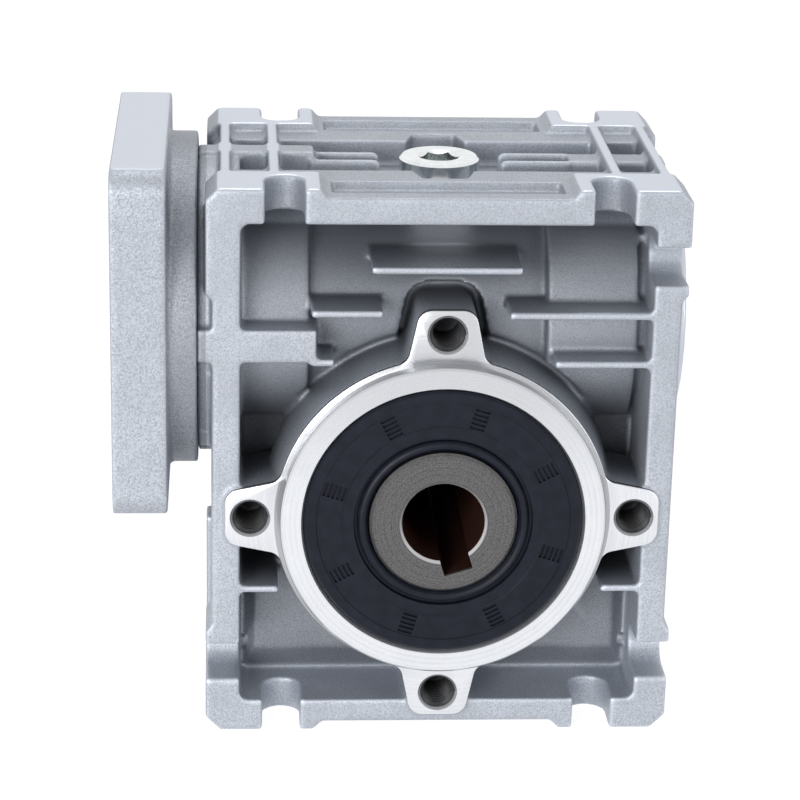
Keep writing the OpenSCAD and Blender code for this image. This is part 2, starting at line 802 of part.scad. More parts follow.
// Section of a shaft seal: radius against depth from its outer face
module seal_section(shaft_r, seat_r) {
    r_in = shaft_r + run;
    r_out = seat_r - fit;
    w = seal_w - 0.1;
    polygon([[r_out, 0.5], [r_out - 0.4, 0.1], [r_out - 2.0, 0.1], [r_out - 2.1, 0.25],
             [r_in + 4.7, 0.25], [r_in + 4.5, 0.4], [r_in + 2.6, 0.4], [r_in + 2.45, 1.2],
             [r_in + 2.05, 1.2], [r_in + 1.9, 0.7], [r_in + 1.55, 0.3], [r_in + 1.15, 0.15],
             [r_in + 0.7, 0.3], [r_in + 0.25, 0.75], [r_in, 1.3], [r_in + 0.9, 2.6], [r_in + 0.1, 4.1],
             [r_in + 0.9, 4.9], [r_in + 1.5, 4.7], [r_in + 1.9, 3.9], [r_in + 2.1, 2.4],
             [r_out - 2.4, 2.2], [r_out - 1.4, 3.0], [r_out - 1.4, w], [r_out, w]]);
}

// Seal whose outer face looks towards -Y at the given place
module seal_y_axis(y_face) {
    translate([0, y_face, 0])
        rotate([-90, 0, 0])
            rotate_extrude()
                seal_section(output_hub_d / 2, output_seat_d / 2);
}

// Groups of short moulded bars on the face of an output seal
module seal_marks(y_face) {
    groups = 8;
    bars = 5;
    length = 2.5;
    inner_r = output_hub_d / 2 + 4.9;
    for (g = [0:groups - 1], b = [0:bars - 1])
        rotate([0, 17 + g * 360 / groups, 0])
            translate([-length / 2, y_face - cut, inner_r + b * 0.8])
                cube([length, cut + 0.7, 0.5]);
}

module front_output_seal() {
    color([0.11, 0.12, 0.15])
        difference() {
            seal_y_axis(-seal_y);
            seal_marks(-seal_y);
        }
}

module rear_output_seal() {
    color([0.11, 0.12, 0.15])
        mirror([0, 1, 0])
            difference() {
                seal_y_axis(-seal_y);
                seal_marks(-seal_y);
            }
}

module input_seal() {
    color([0.11, 0.12, 0.15])
        translate([-input_seal_x, 0, a])
            rotate([0, 90, 0])
                rotate_extrude()
                    seal_section(input_journal_d / 2, input_seat_d / 2);
}

spring_r = 0.5;
spring_depth = 3.9;

// Garter spring that lies round a seal's lip
module garter_spring(shaft_r) {
    rotate_extrude()
        translate([shaft_r + run + 1.9 + spring_r + 0.1, spring_depth + 0.3])
            circle(spring_r, $fn = 24);
}

module front_seal_spring() {
    color([0.6, 0.6, 0.62])
        translate([0, -seal_y, 0])
            rotate([-90, 0, 0])
                garter_spring(output_hub_d / 2);
}

module rear_seal_spring() {
    color([0.6, 0.6, 0.62])
        translate([0, seal_y, 0])
            rotate([90, 0, 0])
                garter_spring(output_hub_d / 2);
}

module input_seal_spring() {
    color([0.6, 0.6, 0.62])
        translate([-input_seal_x, 0, a])
            rotate([0, 90, 0])
                garter_spring(input_journal_d / 2);
}

// Cap pressed into the far end of the worm bore
module worm_end_cap() {
    color([0.2, 0.21, 0.23])
        difference() {
            union() {
                disc_x(end_seat_d / 2 - fit, end_boss_x - end_cap_t, end_boss_x - 0.4);
                disc_x(end_seat_d / 2 - fit, end_boss_x - 0.4, end_boss_x, end_seat_d / 2 - 0.4);
            }
            disc_x(end_seat_d / 2 - 2, end_boss_x - end_cap_t - cut, end_boss_x - 1.6);
            disc_x(end_seat_d / 2 - 4, end_boss_x - 0.6, end_boss_x + cut);
        }
}

// Inner snap ring with two eyes at its gap, in the worm's cross plane
module snap_ring(seat_r) {
    r_out = seat_r + 0.8;
    eye_r = 1.7;
    gap = 24;
    difference() {
        union() {
            difference() {
                cylinder(h = clip_t, r = r_out);
                translate([0, 0, -cut])
                    cylinder(h = clip_t + 2 * cut, r = r_out - 2.6);
                translate([0, 0, -cut])
                    linear_extrude(clip_t + 2 * cut)
                        polygon([[0, 0], 2 * r_out * [cos(gap / 2), sin(gap / 2)],
                                 2 * r_out * [cos(gap / 2), -sin(gap / 2)]]);
            }
            for (s = [-1, 1])
                rotate(s * (gap / 2 + 6))
                    translate([seat_r - 2.2, 0, 0])
                        cylinder(h = clip_t, r = eye_r);
        }
        for (s = [-1, 1])
            rotate(s * (gap / 2 + 6))
                translate([seat_r - 2.4, 0, -cut])
                    cylinder(h = clip_t + 2 * cut, r = 0.7);
    }
}

module input_circlip() {
    color([0.3, 0.3, 0.32])
        translate([-worm_brg_x - clip_t, 0, a])
            rotate([0, 90, 0])
                snap_ring(input_seat_d / 2);
}

module end_circlip() {
    color([0.3, 0.3, 0.32])
        translate([worm_brg_x, 0, a])
            rotate([0, 90, 0])
                snap_ring(end_seat_d / 2);
}

// Outline of the worm across its axis: one thread, whose flanks are straight along the axis
function thread_half_angle(r) =
    360 / lead * (lead / 4 - tooth_play / 4 - (r - worm_pitch_d / 2) * tan(pressure_angle));

module worm_cross_section() {
    steps = 4;
    tip_half = thread_half_angle(worm_tip_r);
    root_half = thread_half_angle(worm_root_r);
    flank = [for (i = [0:steps]) let (r = worm_tip_r + (worm_root_r - worm_tip_r) * i / steps)
                 [r, thread_half_angle(r)]];
    tip = [for (i = [-1, 0, 1]) [worm_tip_r, tip_half * i / 2]];
    root = [for (i = [1:3]) [worm_root_r, root_half + (360 - 2 * root_half) * i / 4]];
    rising = [for (i = [steps:-1:0]) [flank[i][0], -flank[i][1]]];
    outline = concat(rising, tip, flank, root);
    polygon([for (p = outline) p[0] * [cos(p[1]), sin(p[1])]]);
}

module worm_thread() {
    turns = thread_len / lead;
    translate([-thread_len / 2, 0, a])
        rotate([0, 90, 0])
            rotate(-180 * turns)
                linear_extrude(thread_len, twist = -360 * turns, slices = round(20 * turns),
                               convexity = 8, $fn = 20)
                    worm_cross_section();
}

module worm_shaft() {
    journal_r = input_journal_d / 2;
    end_r = end_journal_d / 2;
    collar_t = 2;
    half = thread_len / 2;
    tip_bevel = 0.6;
    key_depth = 0.9;
    color([0.42, 0.43, 0.45])
        difference() {
            union() {
                worm_thread();
                disc_x(worm_root_r - 0.7, -half - 1, half + 1);
                disc_x(journal_r - tip_bevel, -worm_end_x, -worm_end_x + tip_bevel, journal_r);
                disc_x(journal_r, -worm_end_x + tip_bevel, -worm_seat_x);
                disc_x(worm_collar_r, -worm_seat_x, -worm_seat_x + collar_t);
                disc_x(worm_neck_r, -worm_seat_x + collar_t, -half);
                disc_x(worm_neck_r, half, worm_seat_x - collar_t);
                disc_x(end_collar_r, worm_seat_x - collar_t, worm_seat_x);
                disc_x(end_r, worm_seat_x, worm_brg_x + 0.4);
                disc_x(end_r, worm_brg_x + 0.4, worm_brg_x + 1, end_r - 0.6);
            }
            disc_x(input_bore_d / 2, -worm_end_x - cut, -worm_end_x + input_bore_depth);
            disc_x(input_bore_d / 2 + 0.5, -worm_end_x - 0.01, -worm_end_x + 0.5, input_bore_d / 2);
            block([-worm_end_x - cut, -1.5, a],
                  [-worm_end_x + input_bore_depth - 1, 1.5, a + input_bore_d / 2 + key_depth]);
        }
}

// Hollow output shaft with its keyway
module output_hub() {
    r = output_hub_d / 2;
    bore_r = output_bore_d / 2;
    bevel = 0.5;
    color([0.5, 0.5, 0.5])
        difference() {
            union() {
                disc_y(r - bevel, -ring_y, -ring_y + bevel, r);
                disc_y(r, -ring_y + bevel, ring_y - bevel);
                disc_y(r, ring_y - bevel, ring_y, r - bevel);
                disc_y(hub_collar_r, -shoulder_y, shoulder_y);
                disc_y(rim_bore_d / 2, -rim_w / 2, rim_w / 2);
            }
            disc_y(bore_r, -ring_y - cut, ring_y + cut);
            disc_y(bore_r + bevel, -ring_y - 0.01, -ring_y + bevel, bore_r);
            disc_y(bore_r, ring_y - bevel, ring_y + 0.01, bore_r + bevel);
            rotate([0, -key_angle, 0])
                block([-key_w / 2, -ring_y - cut, -(key_top - bore_r)], [key_w / 2, ring_y + cut, 0]);
        }
}

// Half angle of a wheel tooth at radius r, with an involute flank
function involute(angle) = tan(angle) * 180 / PI - angle;
function tooth_half_angle(r) =
    let (base = wheel_pitch_r * cos(pressure_angle))
    90 / wheel_teeth * (1 - tooth_play / lead) + involute(pressure_angle)
        - involute(acos(min(1, base / max(r, base))));

// Bronze wheel rim with helical teeth
module worm_wheel() {
    steps = 4;
    pitch = 360 / wheel_teeth;
    flank = [for (i = [0:steps]) let (r = wheel_root_r + (wheel_tip_r - wheel_root_r) * i / steps)
                 [r, tooth_half_angle(r)]];
    tooth = concat([for (i = [0:steps]) [flank[i][0], -flank[i][1]]],
                   [for (i = [steps:-1:0]) flank[i]]);
    twist_angle = rim_w * tan(lead_angle) / wheel_pitch_r * 180 / PI;
    outline = [for (k = [0:wheel_teeth - 1], p = tooth)
                   let (angle = 90 + (k + 0.5) * pitch + p[1] + twist_angle / 2)
                   p[0] * [cos(angle), sin(angle)]];
    inner_r = rim_bore_d / 2 + fit;
    color([0.78, 0.6, 0.28])
        difference() {
            rotate([90, 0, 0])
                rotate(-twist_angle)
                    linear_extrude(rim_w, twist = -twist_angle, slices = 3, center = true, convexity = 8)
                        polygon(outline);
            disc_y(inner_r, -rim_w / 2 - cut, rim_w / 2 + cut);
        }
}

// Rolling bearing about the Z axis, from Z = 0 up
ring_share = 0.3;    // share of the height between bore and seat that one ring takes

module bearing_ring(r_low, r_high, w, ball_d, pitch_r) {
    bevel = 0.4;
    rotate_extrude()
        difference() {
            polygon([[r_low + bevel, 0], [r_high - bevel, 0], [r_high, bevel], [r_high, w - bevel],
                     [r_high - bevel, w], [r_low + bevel, w], [r_low, w - bevel], [r_low, bevel]]);
            translate([pitch_r, w / 2])
                circle(ball_d / 2 + brg_run);
        }
}

module bearing_outer(bore_r, seat_r, w, ball_d) {
    land = ring_share * (seat_r - bore_r);
    bearing_ring(seat_r - land, seat_r - fit, w, ball_d, (bore_r + seat_r) / 2);
}

module bearing_inner(bore_r, seat_r, w, ball_d) {
    land = ring_share * (seat_r - bore_r);
    bearing_ring(bore_r + fit, bore_r + land, w, ball_d, (bore_r + seat_r) / 2);
}

function ball_count(bore_r, seat_r, ball_d) = floor(PI * (bore_r + seat_r) / (1.45 * ball_d));

module bearing_balls(bore_r, seat_r, w, ball_d) {
    count = ball_count(bore_r, seat_r, ball_d);
    for (k = [0:count - 1])
        rotate(k * 360 / count)
            translate([(bore_r + seat_r) / 2, 0, w / 2])
                sphere(ball_d / 2);
}

module bearing_cage(bore_r, seat_r, w, ball_d) {
    count = ball_count(bore_r, seat_r, ball_d);
    pitch_r = (bore_r + seat_r) / 2;
    land = ring_share * (seat_r - bore_r);
    half_t = (seat_r - bore_r) / 2 - land - 0.5;
    cage_w = min(w - 1.6, ball_d + 1.6);
    difference() {
        translate([0, 0, (w - cage_w) / 2])
            difference() {
                cylinder(h = cage_w, r = pitch_r + half_t);
                translate([0, 0, -cut])
                    cylinder(h = cage_w + 2 * cut, r = pitch_r - half_t);
            }
        for (k = [0:count - 1])
            rotate(k * 360 / count)
                translate([pitch_r - half_t - cut, 0, w / 2])
                    rotate([0, 90, 0])
                        cylinder(h = 2 * half_t + 2 * cut, d = ball_d + 0.2);
    }
}

// Places of the four bearings
module at_front_bearing() {
    translate([0, -shoulder_y, 0])
        rotate([90, 0, 0])
            children();
}

module at_rear_bearing() {
    translate([0, shoulder_y, 0])
        rotate([-90, 0, 0])
            children();
}

module at_input_bearing() {
    translate([-worm_seat_x, 0, a])
        rotate([0, -90, 0])
            children();
}

module at_end_bearing() {
    translate([worm_seat_x, 0, a])
        rotate([0, 90, 0])
            children();
}

steel = [0.66, 0.67, 0.69];
ball_steel = [0.8, 0.81, 0.83];
cage_steel = [0.55, 0.53, 0.48];
hub_r = output_hub_d / 2;
out_r = output_seat_d / 2;
in_r = input_journal_d / 2;
in_seat_r = input_seat_d / 2;
far_r = end_journal_d / 2;
far_seat_r = end_seat_d / 2;

module front_bearing_outer() {
    color(steel) at_front_bearing() bearing_outer(hub_r, out_r, output_brg_w, output_ball_d);
}

module front_bearing_inner() {
    color(steel) at_front_bearing() bearing_inner(hub_r, out_r, output_brg_w, output_ball_d);
}

module front_bearing_balls() {
    color(ball_steel) at_front_bearing() bearing_balls(hub_r, out_r, output_brg_w, output_ball_d);
}

module front_bearing_cage() {
    color(cage_steel) at_front_bearing() bearing_cage(hub_r, out_r, output_brg_w, output_ball_d);
}

module rear_bearing_outer() {
    color(steel) at_rear_bearing() bearing_outer(hub_r, out_r, output_brg_w, output_ball_d);
}

module rear_bearing_inner() {
    color(steel) at_rear_bearing() bearing_inner(hub_r, out_r, output_brg_w, output_ball_d);
}

module rear_bearing_balls() {
    color(ball_steel) at_rear_bearing() bearing_balls(hub_r, out_r, output_brg_w, output_ball_d);
}

module rear_bearing_cage() {
    color(cage_steel) at_rear_bearing() bearing_cage(hub_r, out_r, output_brg_w, output_ball_d);
}

module input_bearing_outer() {
    color(steel) at_input_bearing() bearing_outer(in_r, in_seat_r, worm_brg_w, worm_ball_d);
}

module input_bearing_inner() {
    color(steel) at_input_bearing() bearing_inner(in_r, in_seat_r, worm_brg_w, worm_ball_d);
}

module input_bearing_balls() {
    color(ball_steel) at_input_bearing() bearing_balls(in_r, in_seat_r, worm_brg_w, worm_ball_d);
}

module input_bearing_cage() {
    color(cage_steel) at_input_bearing() bearing_cage(in_r, in_seat_r, worm_brg_w, worm_ball_d);
}

module end_bearing_outer() {
    color(steel) at_end_bearing() bearing_outer(far_r, far_seat_r, worm_brg_w, worm_ball_d);
}

module end_bearing_inner() {
    color(steel) at_end_bearing() bearing_inner(far_r, far_seat_r, worm_brg_w, worm_ball_d);
}

module end_bearing_balls() {
    color(ball_steel) at_end_bearing() bearing_balls(far_r, far_seat_r, worm_brg_w, worm_ball_d);
}

module end_bearing_cage() {
    color(cage_steel) at_end_bearing() bearing_cage(far_r, far_seat_r, worm_brg_w, worm_ball_d);
}

housing();
output_cover();
cover_o_ring();
cover_screws();
input_flange();
flange_screws();
oil_plug();
plug_washer();
front_output_seal();
rear_output_seal();
front_seal_spring();
rear_seal_spring();
input_seal();
input_seal_spring();
worm_end_cap();
input_circlip();
end_circlip();
worm_shaft();
output_hub();
worm_wheel();
front_bearing_outer();
front_bearing_inner();
front_bearing_balls();
front_bearing_cage();
rear_bearing_outer();
rear_bearing_inner();
rear_bearing_balls();
rear_bearing_cage();
input_bearing_outer();
input_bearing_inner();
input_bearing_balls();
input_bearing_cage();
end_bearing_outer();
end_bearing_inner();
end_bearing_balls();
end_bearing_cage();
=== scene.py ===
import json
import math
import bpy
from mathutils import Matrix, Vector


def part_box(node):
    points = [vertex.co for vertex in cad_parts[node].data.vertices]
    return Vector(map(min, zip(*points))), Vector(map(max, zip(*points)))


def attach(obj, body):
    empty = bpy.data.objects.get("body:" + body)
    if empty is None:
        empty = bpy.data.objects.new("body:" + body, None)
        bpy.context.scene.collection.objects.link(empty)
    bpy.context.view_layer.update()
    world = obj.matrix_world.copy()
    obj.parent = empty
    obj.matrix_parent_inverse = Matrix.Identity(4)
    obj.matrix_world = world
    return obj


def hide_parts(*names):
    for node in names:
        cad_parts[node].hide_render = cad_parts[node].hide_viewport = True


bl_info = {
    "name": "Worm gear reducer",
    "version": (1, 0, 0),
    "blender": (4, 5, 0),
    "location": "View3D > Sidebar > Reducer",
    "description": "Dresses the packed worm gear reducer with its castings, threads and finishes",
    "category": "Object",
}

import bmesh
import bpy
from bpy.props import FloatProperty, FloatVectorProperty, IntProperty, PointerProperty
from mathutils import Matrix, Vector

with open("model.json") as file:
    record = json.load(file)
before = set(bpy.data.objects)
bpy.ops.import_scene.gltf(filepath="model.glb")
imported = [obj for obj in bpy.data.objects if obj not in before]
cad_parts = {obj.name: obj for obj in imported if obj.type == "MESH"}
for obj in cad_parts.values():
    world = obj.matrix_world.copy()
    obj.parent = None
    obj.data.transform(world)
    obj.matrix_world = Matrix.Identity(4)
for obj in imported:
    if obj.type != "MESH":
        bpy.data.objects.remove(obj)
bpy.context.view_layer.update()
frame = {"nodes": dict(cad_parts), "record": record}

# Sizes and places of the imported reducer
MM = 0.001
MOUNTS = {mount["name"]: mount for mount in frame["record"]["mounts"]}
RING_R = MOUNTS["front_ring"]["dims"]["r_mm"] * MM
EAR_CIRCLE_R = MOUNTS["front_ears"]["dims"]["pcd_mm"] / 2 * MM
EAR_HOLE_R = MOUNTS["front_ears"]["dims"]["hole_r_mm"] * MM
REAR_HOLE_R = MOUNTS["rear_ears"]["dims"]["hole_r_mm"] * MM
EAR_FACE = MOUNTS["rear_ears"]["pos_m"][1]
BORE_R = MOUNTS["output_bore"]["dims"]["r_mm"] * MM
HUB_LOW, HUB_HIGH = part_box("output_hub")
FLANGE_BACK_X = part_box("input_flange")[1].x
FLANGE_TOP_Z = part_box("input_flange")[1].z
FOOT_Z = MOUNTS["foot_face"]["pos_m"][2]
TOP_Z = MOUNTS["top_face"]["pos_m"][2]
SIDE_X = MOUNTS["right_face"]["pos_m"][0]
EAR_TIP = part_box("output_cover")[1].z
SEAL_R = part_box("front_output_seal")[1].x

# Radius of the cast drum behind the ring, and how far out the keyway goes
DRUM_R = RING_R + 0.9 * MM
KEY_REACH = 9.6 * MM

# Half width of the pockets between the frame bars, and height of the bottom bars
POCKET_HALF = 34.2 * MM
FOOT_BAR = 5.6 * MM

# The pockets' shade: its distance from the top face, and how far out it is full and ends
SHADE_UNDER_TOP = 9 * MM
FULL_SHADE_Y = 16 * MM
SHADE_END_Y = 29 * MM

# How deep the shade of the ear holes goes, and how much of the motor flange's boss is in shade
EAR_SHADE = 12 * MM
BOSS_SHADE = 4.6 * MM

# Corners of a block that holds the whole reducer with room to spare
OUTER_LOW = (-0.06, -0.05, -0.06)
OUTER_HIGH = (0.06, 0.05, 0.09)

# Yaw, downward pitch and roll of the camera, in degrees
CAMERA_TURN = (-3.766, 19.609, 1.339)

# Colours of the places that little light reaches
SHADE = (0.045, 0.049, 0.058)
DEEP_SHADE = (0.02, 0.022, 0.028)
HOLE_SHADE = (0.05, 0.052, 0.06)


# Sizes and finishes


class CastingSettings(bpy.types.PropertyGroup):
    """Shape and finish of the shot-blasted castings"""

    grid: FloatProperty(
        name="Surface grid",
        description="Spacing of the grid that the castings are rounded on",
        default=0.42 * MM,
        min=0.3 * MM,
        max=1 * MM,
        precision=5,
        unit="LENGTH",
    )
    rounding: IntProperty(
        name="Edge rounding",
        description="Smoothing passes that round the casting's edges",
        default=3,
        min=0,
        max=20,
    )
    kept_faces: FloatProperty(
        name="Kept faces",
        description="Share of the grid's faces that the finished castings keep",
        default=0.3,
        min=0.05,
        max=1,
        subtype="FACTOR",
    )
    colour: FloatVectorProperty(
        name="Blasted aluminium",
        description="Colour of the shot-blasted skin",
        default=(0.53, 0.565, 0.63),
        min=0,
        max=1,
        subtype="COLOR",
    )
    grain: FloatProperty(
        name="Grain",
        description="Width of one pit of the blasted skin",
        default=0.24 * MM,
        min=0.1 * MM,
        max=2 * MM,
        precision=5,
        unit="LENGTH",
    )


class MachinedSettings(bpy.types.PropertyGroup):
    """Shape and finish of the turned rings, the ears and their threads"""

    colour: FloatVectorProperty(
        name="Turned aluminium",
        description="Colour of the turned rings and the ears",
        default=(0.74, 0.755, 0.79),
        min=0,
        max=1,
        subtype="COLOR",
    )
    edge: FloatProperty(
        name="Edge break",
        description="Width of the broken edges of the ears",
        default=0.25 * MM,
        min=0.05 * MM,
        max=0.6 * MM,
        precision=5,
        unit="LENGTH",
    )
    thread_pitch: FloatProperty(
        name="Thread pitch",
        description="Pitch of the threads in the ears",
        default=1.0 * MM,
        min=0.5 * MM,
        max=1.5 * MM,
        precision=5,
        unit="LENGTH",
    )
    thread_depth: FloatProperty(
        name="Thread depth",
        description="Length of the threads in the ears",
        default=9.4 * MM,
        min=4 * MM,
        max=9.8 * MM,
        precision=5,
        unit="LENGTH",
    )


class ShaftSettings(bpy.types.PropertyGroup):
    """Finish of the shafts, the worm wheel, the seals and the plug"""

    steel: FloatVectorProperty(
        name="Hub steel",
        description="Colour of the hollow output shaft",
        default=(0.10, 0.098, 0.1),
        min=0,
        max=1,
        subtype="COLOR",
    )
    # Dark brown oily film together with the painted shade inside the bore
    oil_and_shade: FloatVectorProperty(
        name="Oiled and shaded bore",
        description="Colour of the oil film inside the output bore",
        default=(0.045, 0.020, 0.015),
        min=0,
        max=1,
        subtype="COLOR",
    )
    rubber: FloatVectorProperty(
        name="Seal rubber",
        description="Colour of the seals",
        default=(0.008, 0.010, 0.018),
        min=0,
        max=1,
        subtype="COLOR",
    )
    zinc: FloatVectorProperty(
        name="Plug zinc",
        description="Colour of the zinc-plated plug",
        default=(0.84, 0.87, 0.875),
        min=0,
        max=1,
        subtype="COLOR",
    )
    bronze: FloatVectorProperty(
        name="Wheel bronze",
        description="Colour of the worm wheel",
        default=(0.60, 0.36, 0.13),
        min=0,
        max=1,
        subtype="COLOR",
    )


class StageSettings(bpy.types.PropertyGroup):
    """Floor, light and camera"""

    floor_size: FloatProperty(
        name="Floor size",
        description="Width of the floor",
        default=6.0,
        min=1.0,
        max=20.0,
        unit="LENGTH",
    )
    key_power: FloatProperty(
        name="Key light",
        description="Power of the key light, in watts",
        default=7.8,
        min=0.0,
        max=100.0,
    )
    fill_power: FloatProperty(
        name="Fill light",
        description="Power of the right and the top light, in watts",
        default=1.8,
        min=0.0,
        max=100.0,
    )
    sky: FloatProperty(
        name="Sky",
        description="Strength of the even light from all sides",
        default=0.2,
        min=0.0,
        max=2.0,
    )
    camera_place: FloatVectorProperty(
        name="Camera",
        description="Place of the camera",
        default=(-0.03617, -0.46189, 0.17573),
        subtype="TRANSLATION",
        unit="LENGTH",
    )
    focal_length: FloatProperty(
        name="Focal length",
        description="Focal length of the camera, in millimetres",
        default=124.64,
        min=20.0,
        max=300.0,
    )


# Node helpers for the finishes


class Finish:
    """A node material that is put together one node at a time"""

    def __init__(self, name):
        self.material = bpy.data.materials.new(name)
        self.material.use_nodes = True
        self.nodes = self.material.node_tree.nodes
        self.links = self.material.node_tree.links
        self.shader = self.nodes["Principled BSDF"]
        self.place = self.nodes.new("ShaderNodeTexCoord").outputs["Object"]
        self.height = None

    def put(self, socket, value):
        """Links an output to a socket, or sets the socket to a plain value"""
        if isinstance(value, bpy.types.NodeSocket):
            self.links.new(value, socket)
        elif hasattr(value, "__len__"):
            value = tuple(value)
            is_colour = socket.type == "RGBA" and len(value) == 3
            socket.default_value = (*value, 1.0) if is_colour else value
        else:
            socket.default_value = value

    def surface(self, **sockets):
        """Sets or links the shader's own sockets, named with underscores for blanks"""
        for name, value in sockets.items():
            self.put(self.shader.inputs[name.replace("_", " ")], value)

    def noise(self, size, detail=2.0, roughness=0.5, stretch=(1, 1, 1)):
        """Noise whose features are about as wide as size"""
        scaled = self.nodes.new("ShaderNodeMapping")
        scaled.inputs["Scale"].default_value = stretch
        self.links.new(self.place, scaled.inputs["Vector"])
        node = self.nodes.new("ShaderNodeTexNoise")
        node.inputs["Scale"].default_value = 1 / size
        node.inputs["Detail"].default_value = detail
        node.inputs["Roughness"].default_value = roughness
        self.links.new(scaled.outputs["Vector"], node.inputs["Vector"])
        return node.outputs["Fac"]

    def bands(self, width):
        """Concentric bands about the output axis, each about as wide as width"""
        radius = self.nodes.new("ShaderNodeCombineXYZ")
        self.links.new(self.radius_about_y(), radius.inputs["X"])
        node = self.nodes.new("ShaderNodeTexNoise")
        node.inputs["Scale"].default_value = 1 / width
        node.inputs["Detail"].default_value = 3.0
        self.links.new(radius.outputs[0], node.inputs["Vector"])
        return node.outputs["Fac"]

    def worn_and_highlit_edges(self):
        """One along the outward edges, for rubbed wear with a painted highlight, and nought on the flats"""
        sharpness = self.nodes.new("ShaderNodeNewGeometry").outputs["Pointiness"]
        return self.spread(sharpness, 0.51, 0.58)

    def cells(self, size):
        """Distance to the nearest of points spread about size apart"""
        node = self.nodes.new("ShaderNodeTexVoronoi")
        node.inputs["Scale"].default_value = 1 / size
        self.links.new(self.place, node.inputs["Vector"])
        return node.outputs["Distance"]

    def math(self, operation, *values):
        """One step of arithmetic on numbers"""
        node = self.nodes.new("ShaderNodeMath")
        node.operation = operation
        for socket, value in zip(node.inputs, values):
            self.put(socket, value)
        return node.outputs[0]

    def spread(self, value, low, high, new_low=0.0, new_high=1.0):
        """Maps low..high to new_low..new_high and clamps"""
        node = self.nodes.new("ShaderNodeMapRange")
        node.interpolation_type = "SMOOTHSTEP"
        limits = {"From Min": low, "From Max": high, "To Min": new_low, "To Max": new_high}
        for name, limit in limits.items():
            node.inputs[name].default_value = limit
        self.put(node.inputs["Value"], value)
        return node.outputs[0]

    def mix(self, share, first, second):
        """Mixes two colours"""
        node = self.nodes.new("ShaderNodeMix")
        node.data_type = "RGBA"
        self.put(node.inputs["Factor"], share)
        self.put(node.inputs["A"], first)
        self.put(node.inputs["B"], second)
        return node.outputs["Result"]

    def axis(self, name):
        """One coordinate of the place on the object"""
        node = self.nodes.new("ShaderNodeSeparateXYZ")
        self.links.new(self.place, node.inputs[0])
        return node.outputs[name]

    def radius_about_y(self):
        """Distance from the output axis"""
        return self.math("SQRT", self.math("ADD", self.math("POWER", self.axis("X"), 2.0),
                                           self.math("POWER", self.axis("Z"), 2.0)))

    def near_ear_holes(self, reach):
        """One inside the four ear holes and nought outside them"""
        x = self.math("ABSOLUTE", self.axis("X"))
        z = self.math("ABSOLUTE", self.axis("Z"))
        distances = []
        for far, near in ((z, x), (x, z)):
            along = self.math("POWER", self.math("SUBTRACT", far, EAR_CIRCLE_R), 2.0)
            distances.append(self.math("SQRT", self.math("ADD", along, self.math("POWER", near, 2.0))))
        near_axis = self.spread(self.math("MINIMUM", *distances), reach, reach + 0.1 * MM, 1.0, 0.0)
        end = EAR_FACE - EAR_SHADE
        in_ear = self.spread(self.math("ABSOLUTE", self.axis("Y")), end - 0.2 * MM, end)
        return self.math("MULTIPLY", near_axis, in_ear)

    def on_milled_pads(self, top_z):
        """One on the milled pads at the top, the foot and the right side"""
        z = self.axis("Z")
        top = self.spread(z, top_z - 0.2 * MM, top_z - 0.1 * MM)
        foot = self.spread(z, FOOT_Z + 0.1 * MM, FOOT_Z + 0.2 * MM, 1.0, 0.0)
        side = self.spread(self.axis("X"), SIDE_X - 0.2 * MM, SIDE_X - 0.1 * MM)
        return self.math("MAXIMUM", self.math("MAXIMUM", top, foot), side)

    def in_pockets(self):
        """Mask of the painted shade in the pockets: one deep in the pockets between the frame bars, less
        towards the bottom, and nought on the bars themselves
        """
        x = self.math("ABSOLUTE", self.axis("X"))
        y = self.math("ABSOLUTE", self.axis("Y"))
        z = self.axis("Z")
        across = self.spread(x, POCKET_HALF - 0.8 * MM, POCKET_HALF, 1.0, 0.0)
        under_top = self.spread(z, TOP_Z - SHADE_UNDER_TOP - 1 * MM, TOP_Z - SHADE_UNDER_TOP, 1.0, 0.0)
        over_foot = self.spread(z, FOOT_Z + FOOT_BAR, FOOT_Z + FOOT_BAR + 0.8 * MM)
        deep = self.spread(y, FULL_SHADE_Y, SHADE_END_Y, 1.0, 0.0)
        upper = self.spread(z, FOOT_Z + 14 * MM, FOOT_Z + 30 * MM, 0.65, 1.0)
        height = self.math("MULTIPLY", self.math("MULTIPLY", under_top, over_foot), upper)
        return self.math("MULTIPLY", self.math("MULTIPLY", across, deep), height)

    def facing_up(self):
        """One on the level faces that look up"""
        normal = self.nodes.new("ShaderNodeNewGeometry").outputs["Normal"]
        parts = self.nodes.new("ShaderNodeSeparateXYZ")
        self.links.new(normal, parts.inputs[0])
        return self.spread(parts.outputs["Z"], 0.5, 0.9)

    def beside_flange(self):
        """One on the flange's boss and on the side of the housing next to it, where the painted shade goes"""
        x = self.axis("X")
        past_frame = self.spread(x, -SIDE_X, -SIDE_X + 0.2 * MM, 1.0, 0.0)
        end = FLANGE_BACK_X - BOSS_SHADE
        behind_plate = self.spread(x, end - 0.2 * MM, end)
        return self.math("MULTIPLY", past_frame, behind_plate)

    def bump(self, height, depth, strength=1.0):
        """Adds a bump layer whose full height is depth"""
        node = self.nodes.new("ShaderNodeBump")
        self.put(node.inputs["Strength"], strength)
        node.inputs["Distance"].default_value = depth
        self.put(node.inputs["Height"], height)
        if self.height is not None:
            self.links.new(self.height, node.inputs["Normal"])
        self.height = node.outputs["Normal"]
        self.links.new(self.height, self.shader.inputs["Normal"])


def shaded(colour, factor):
    """The same colour made darker or lighter"""
    return tuple(min(1.0, c * factor) for c in colour)


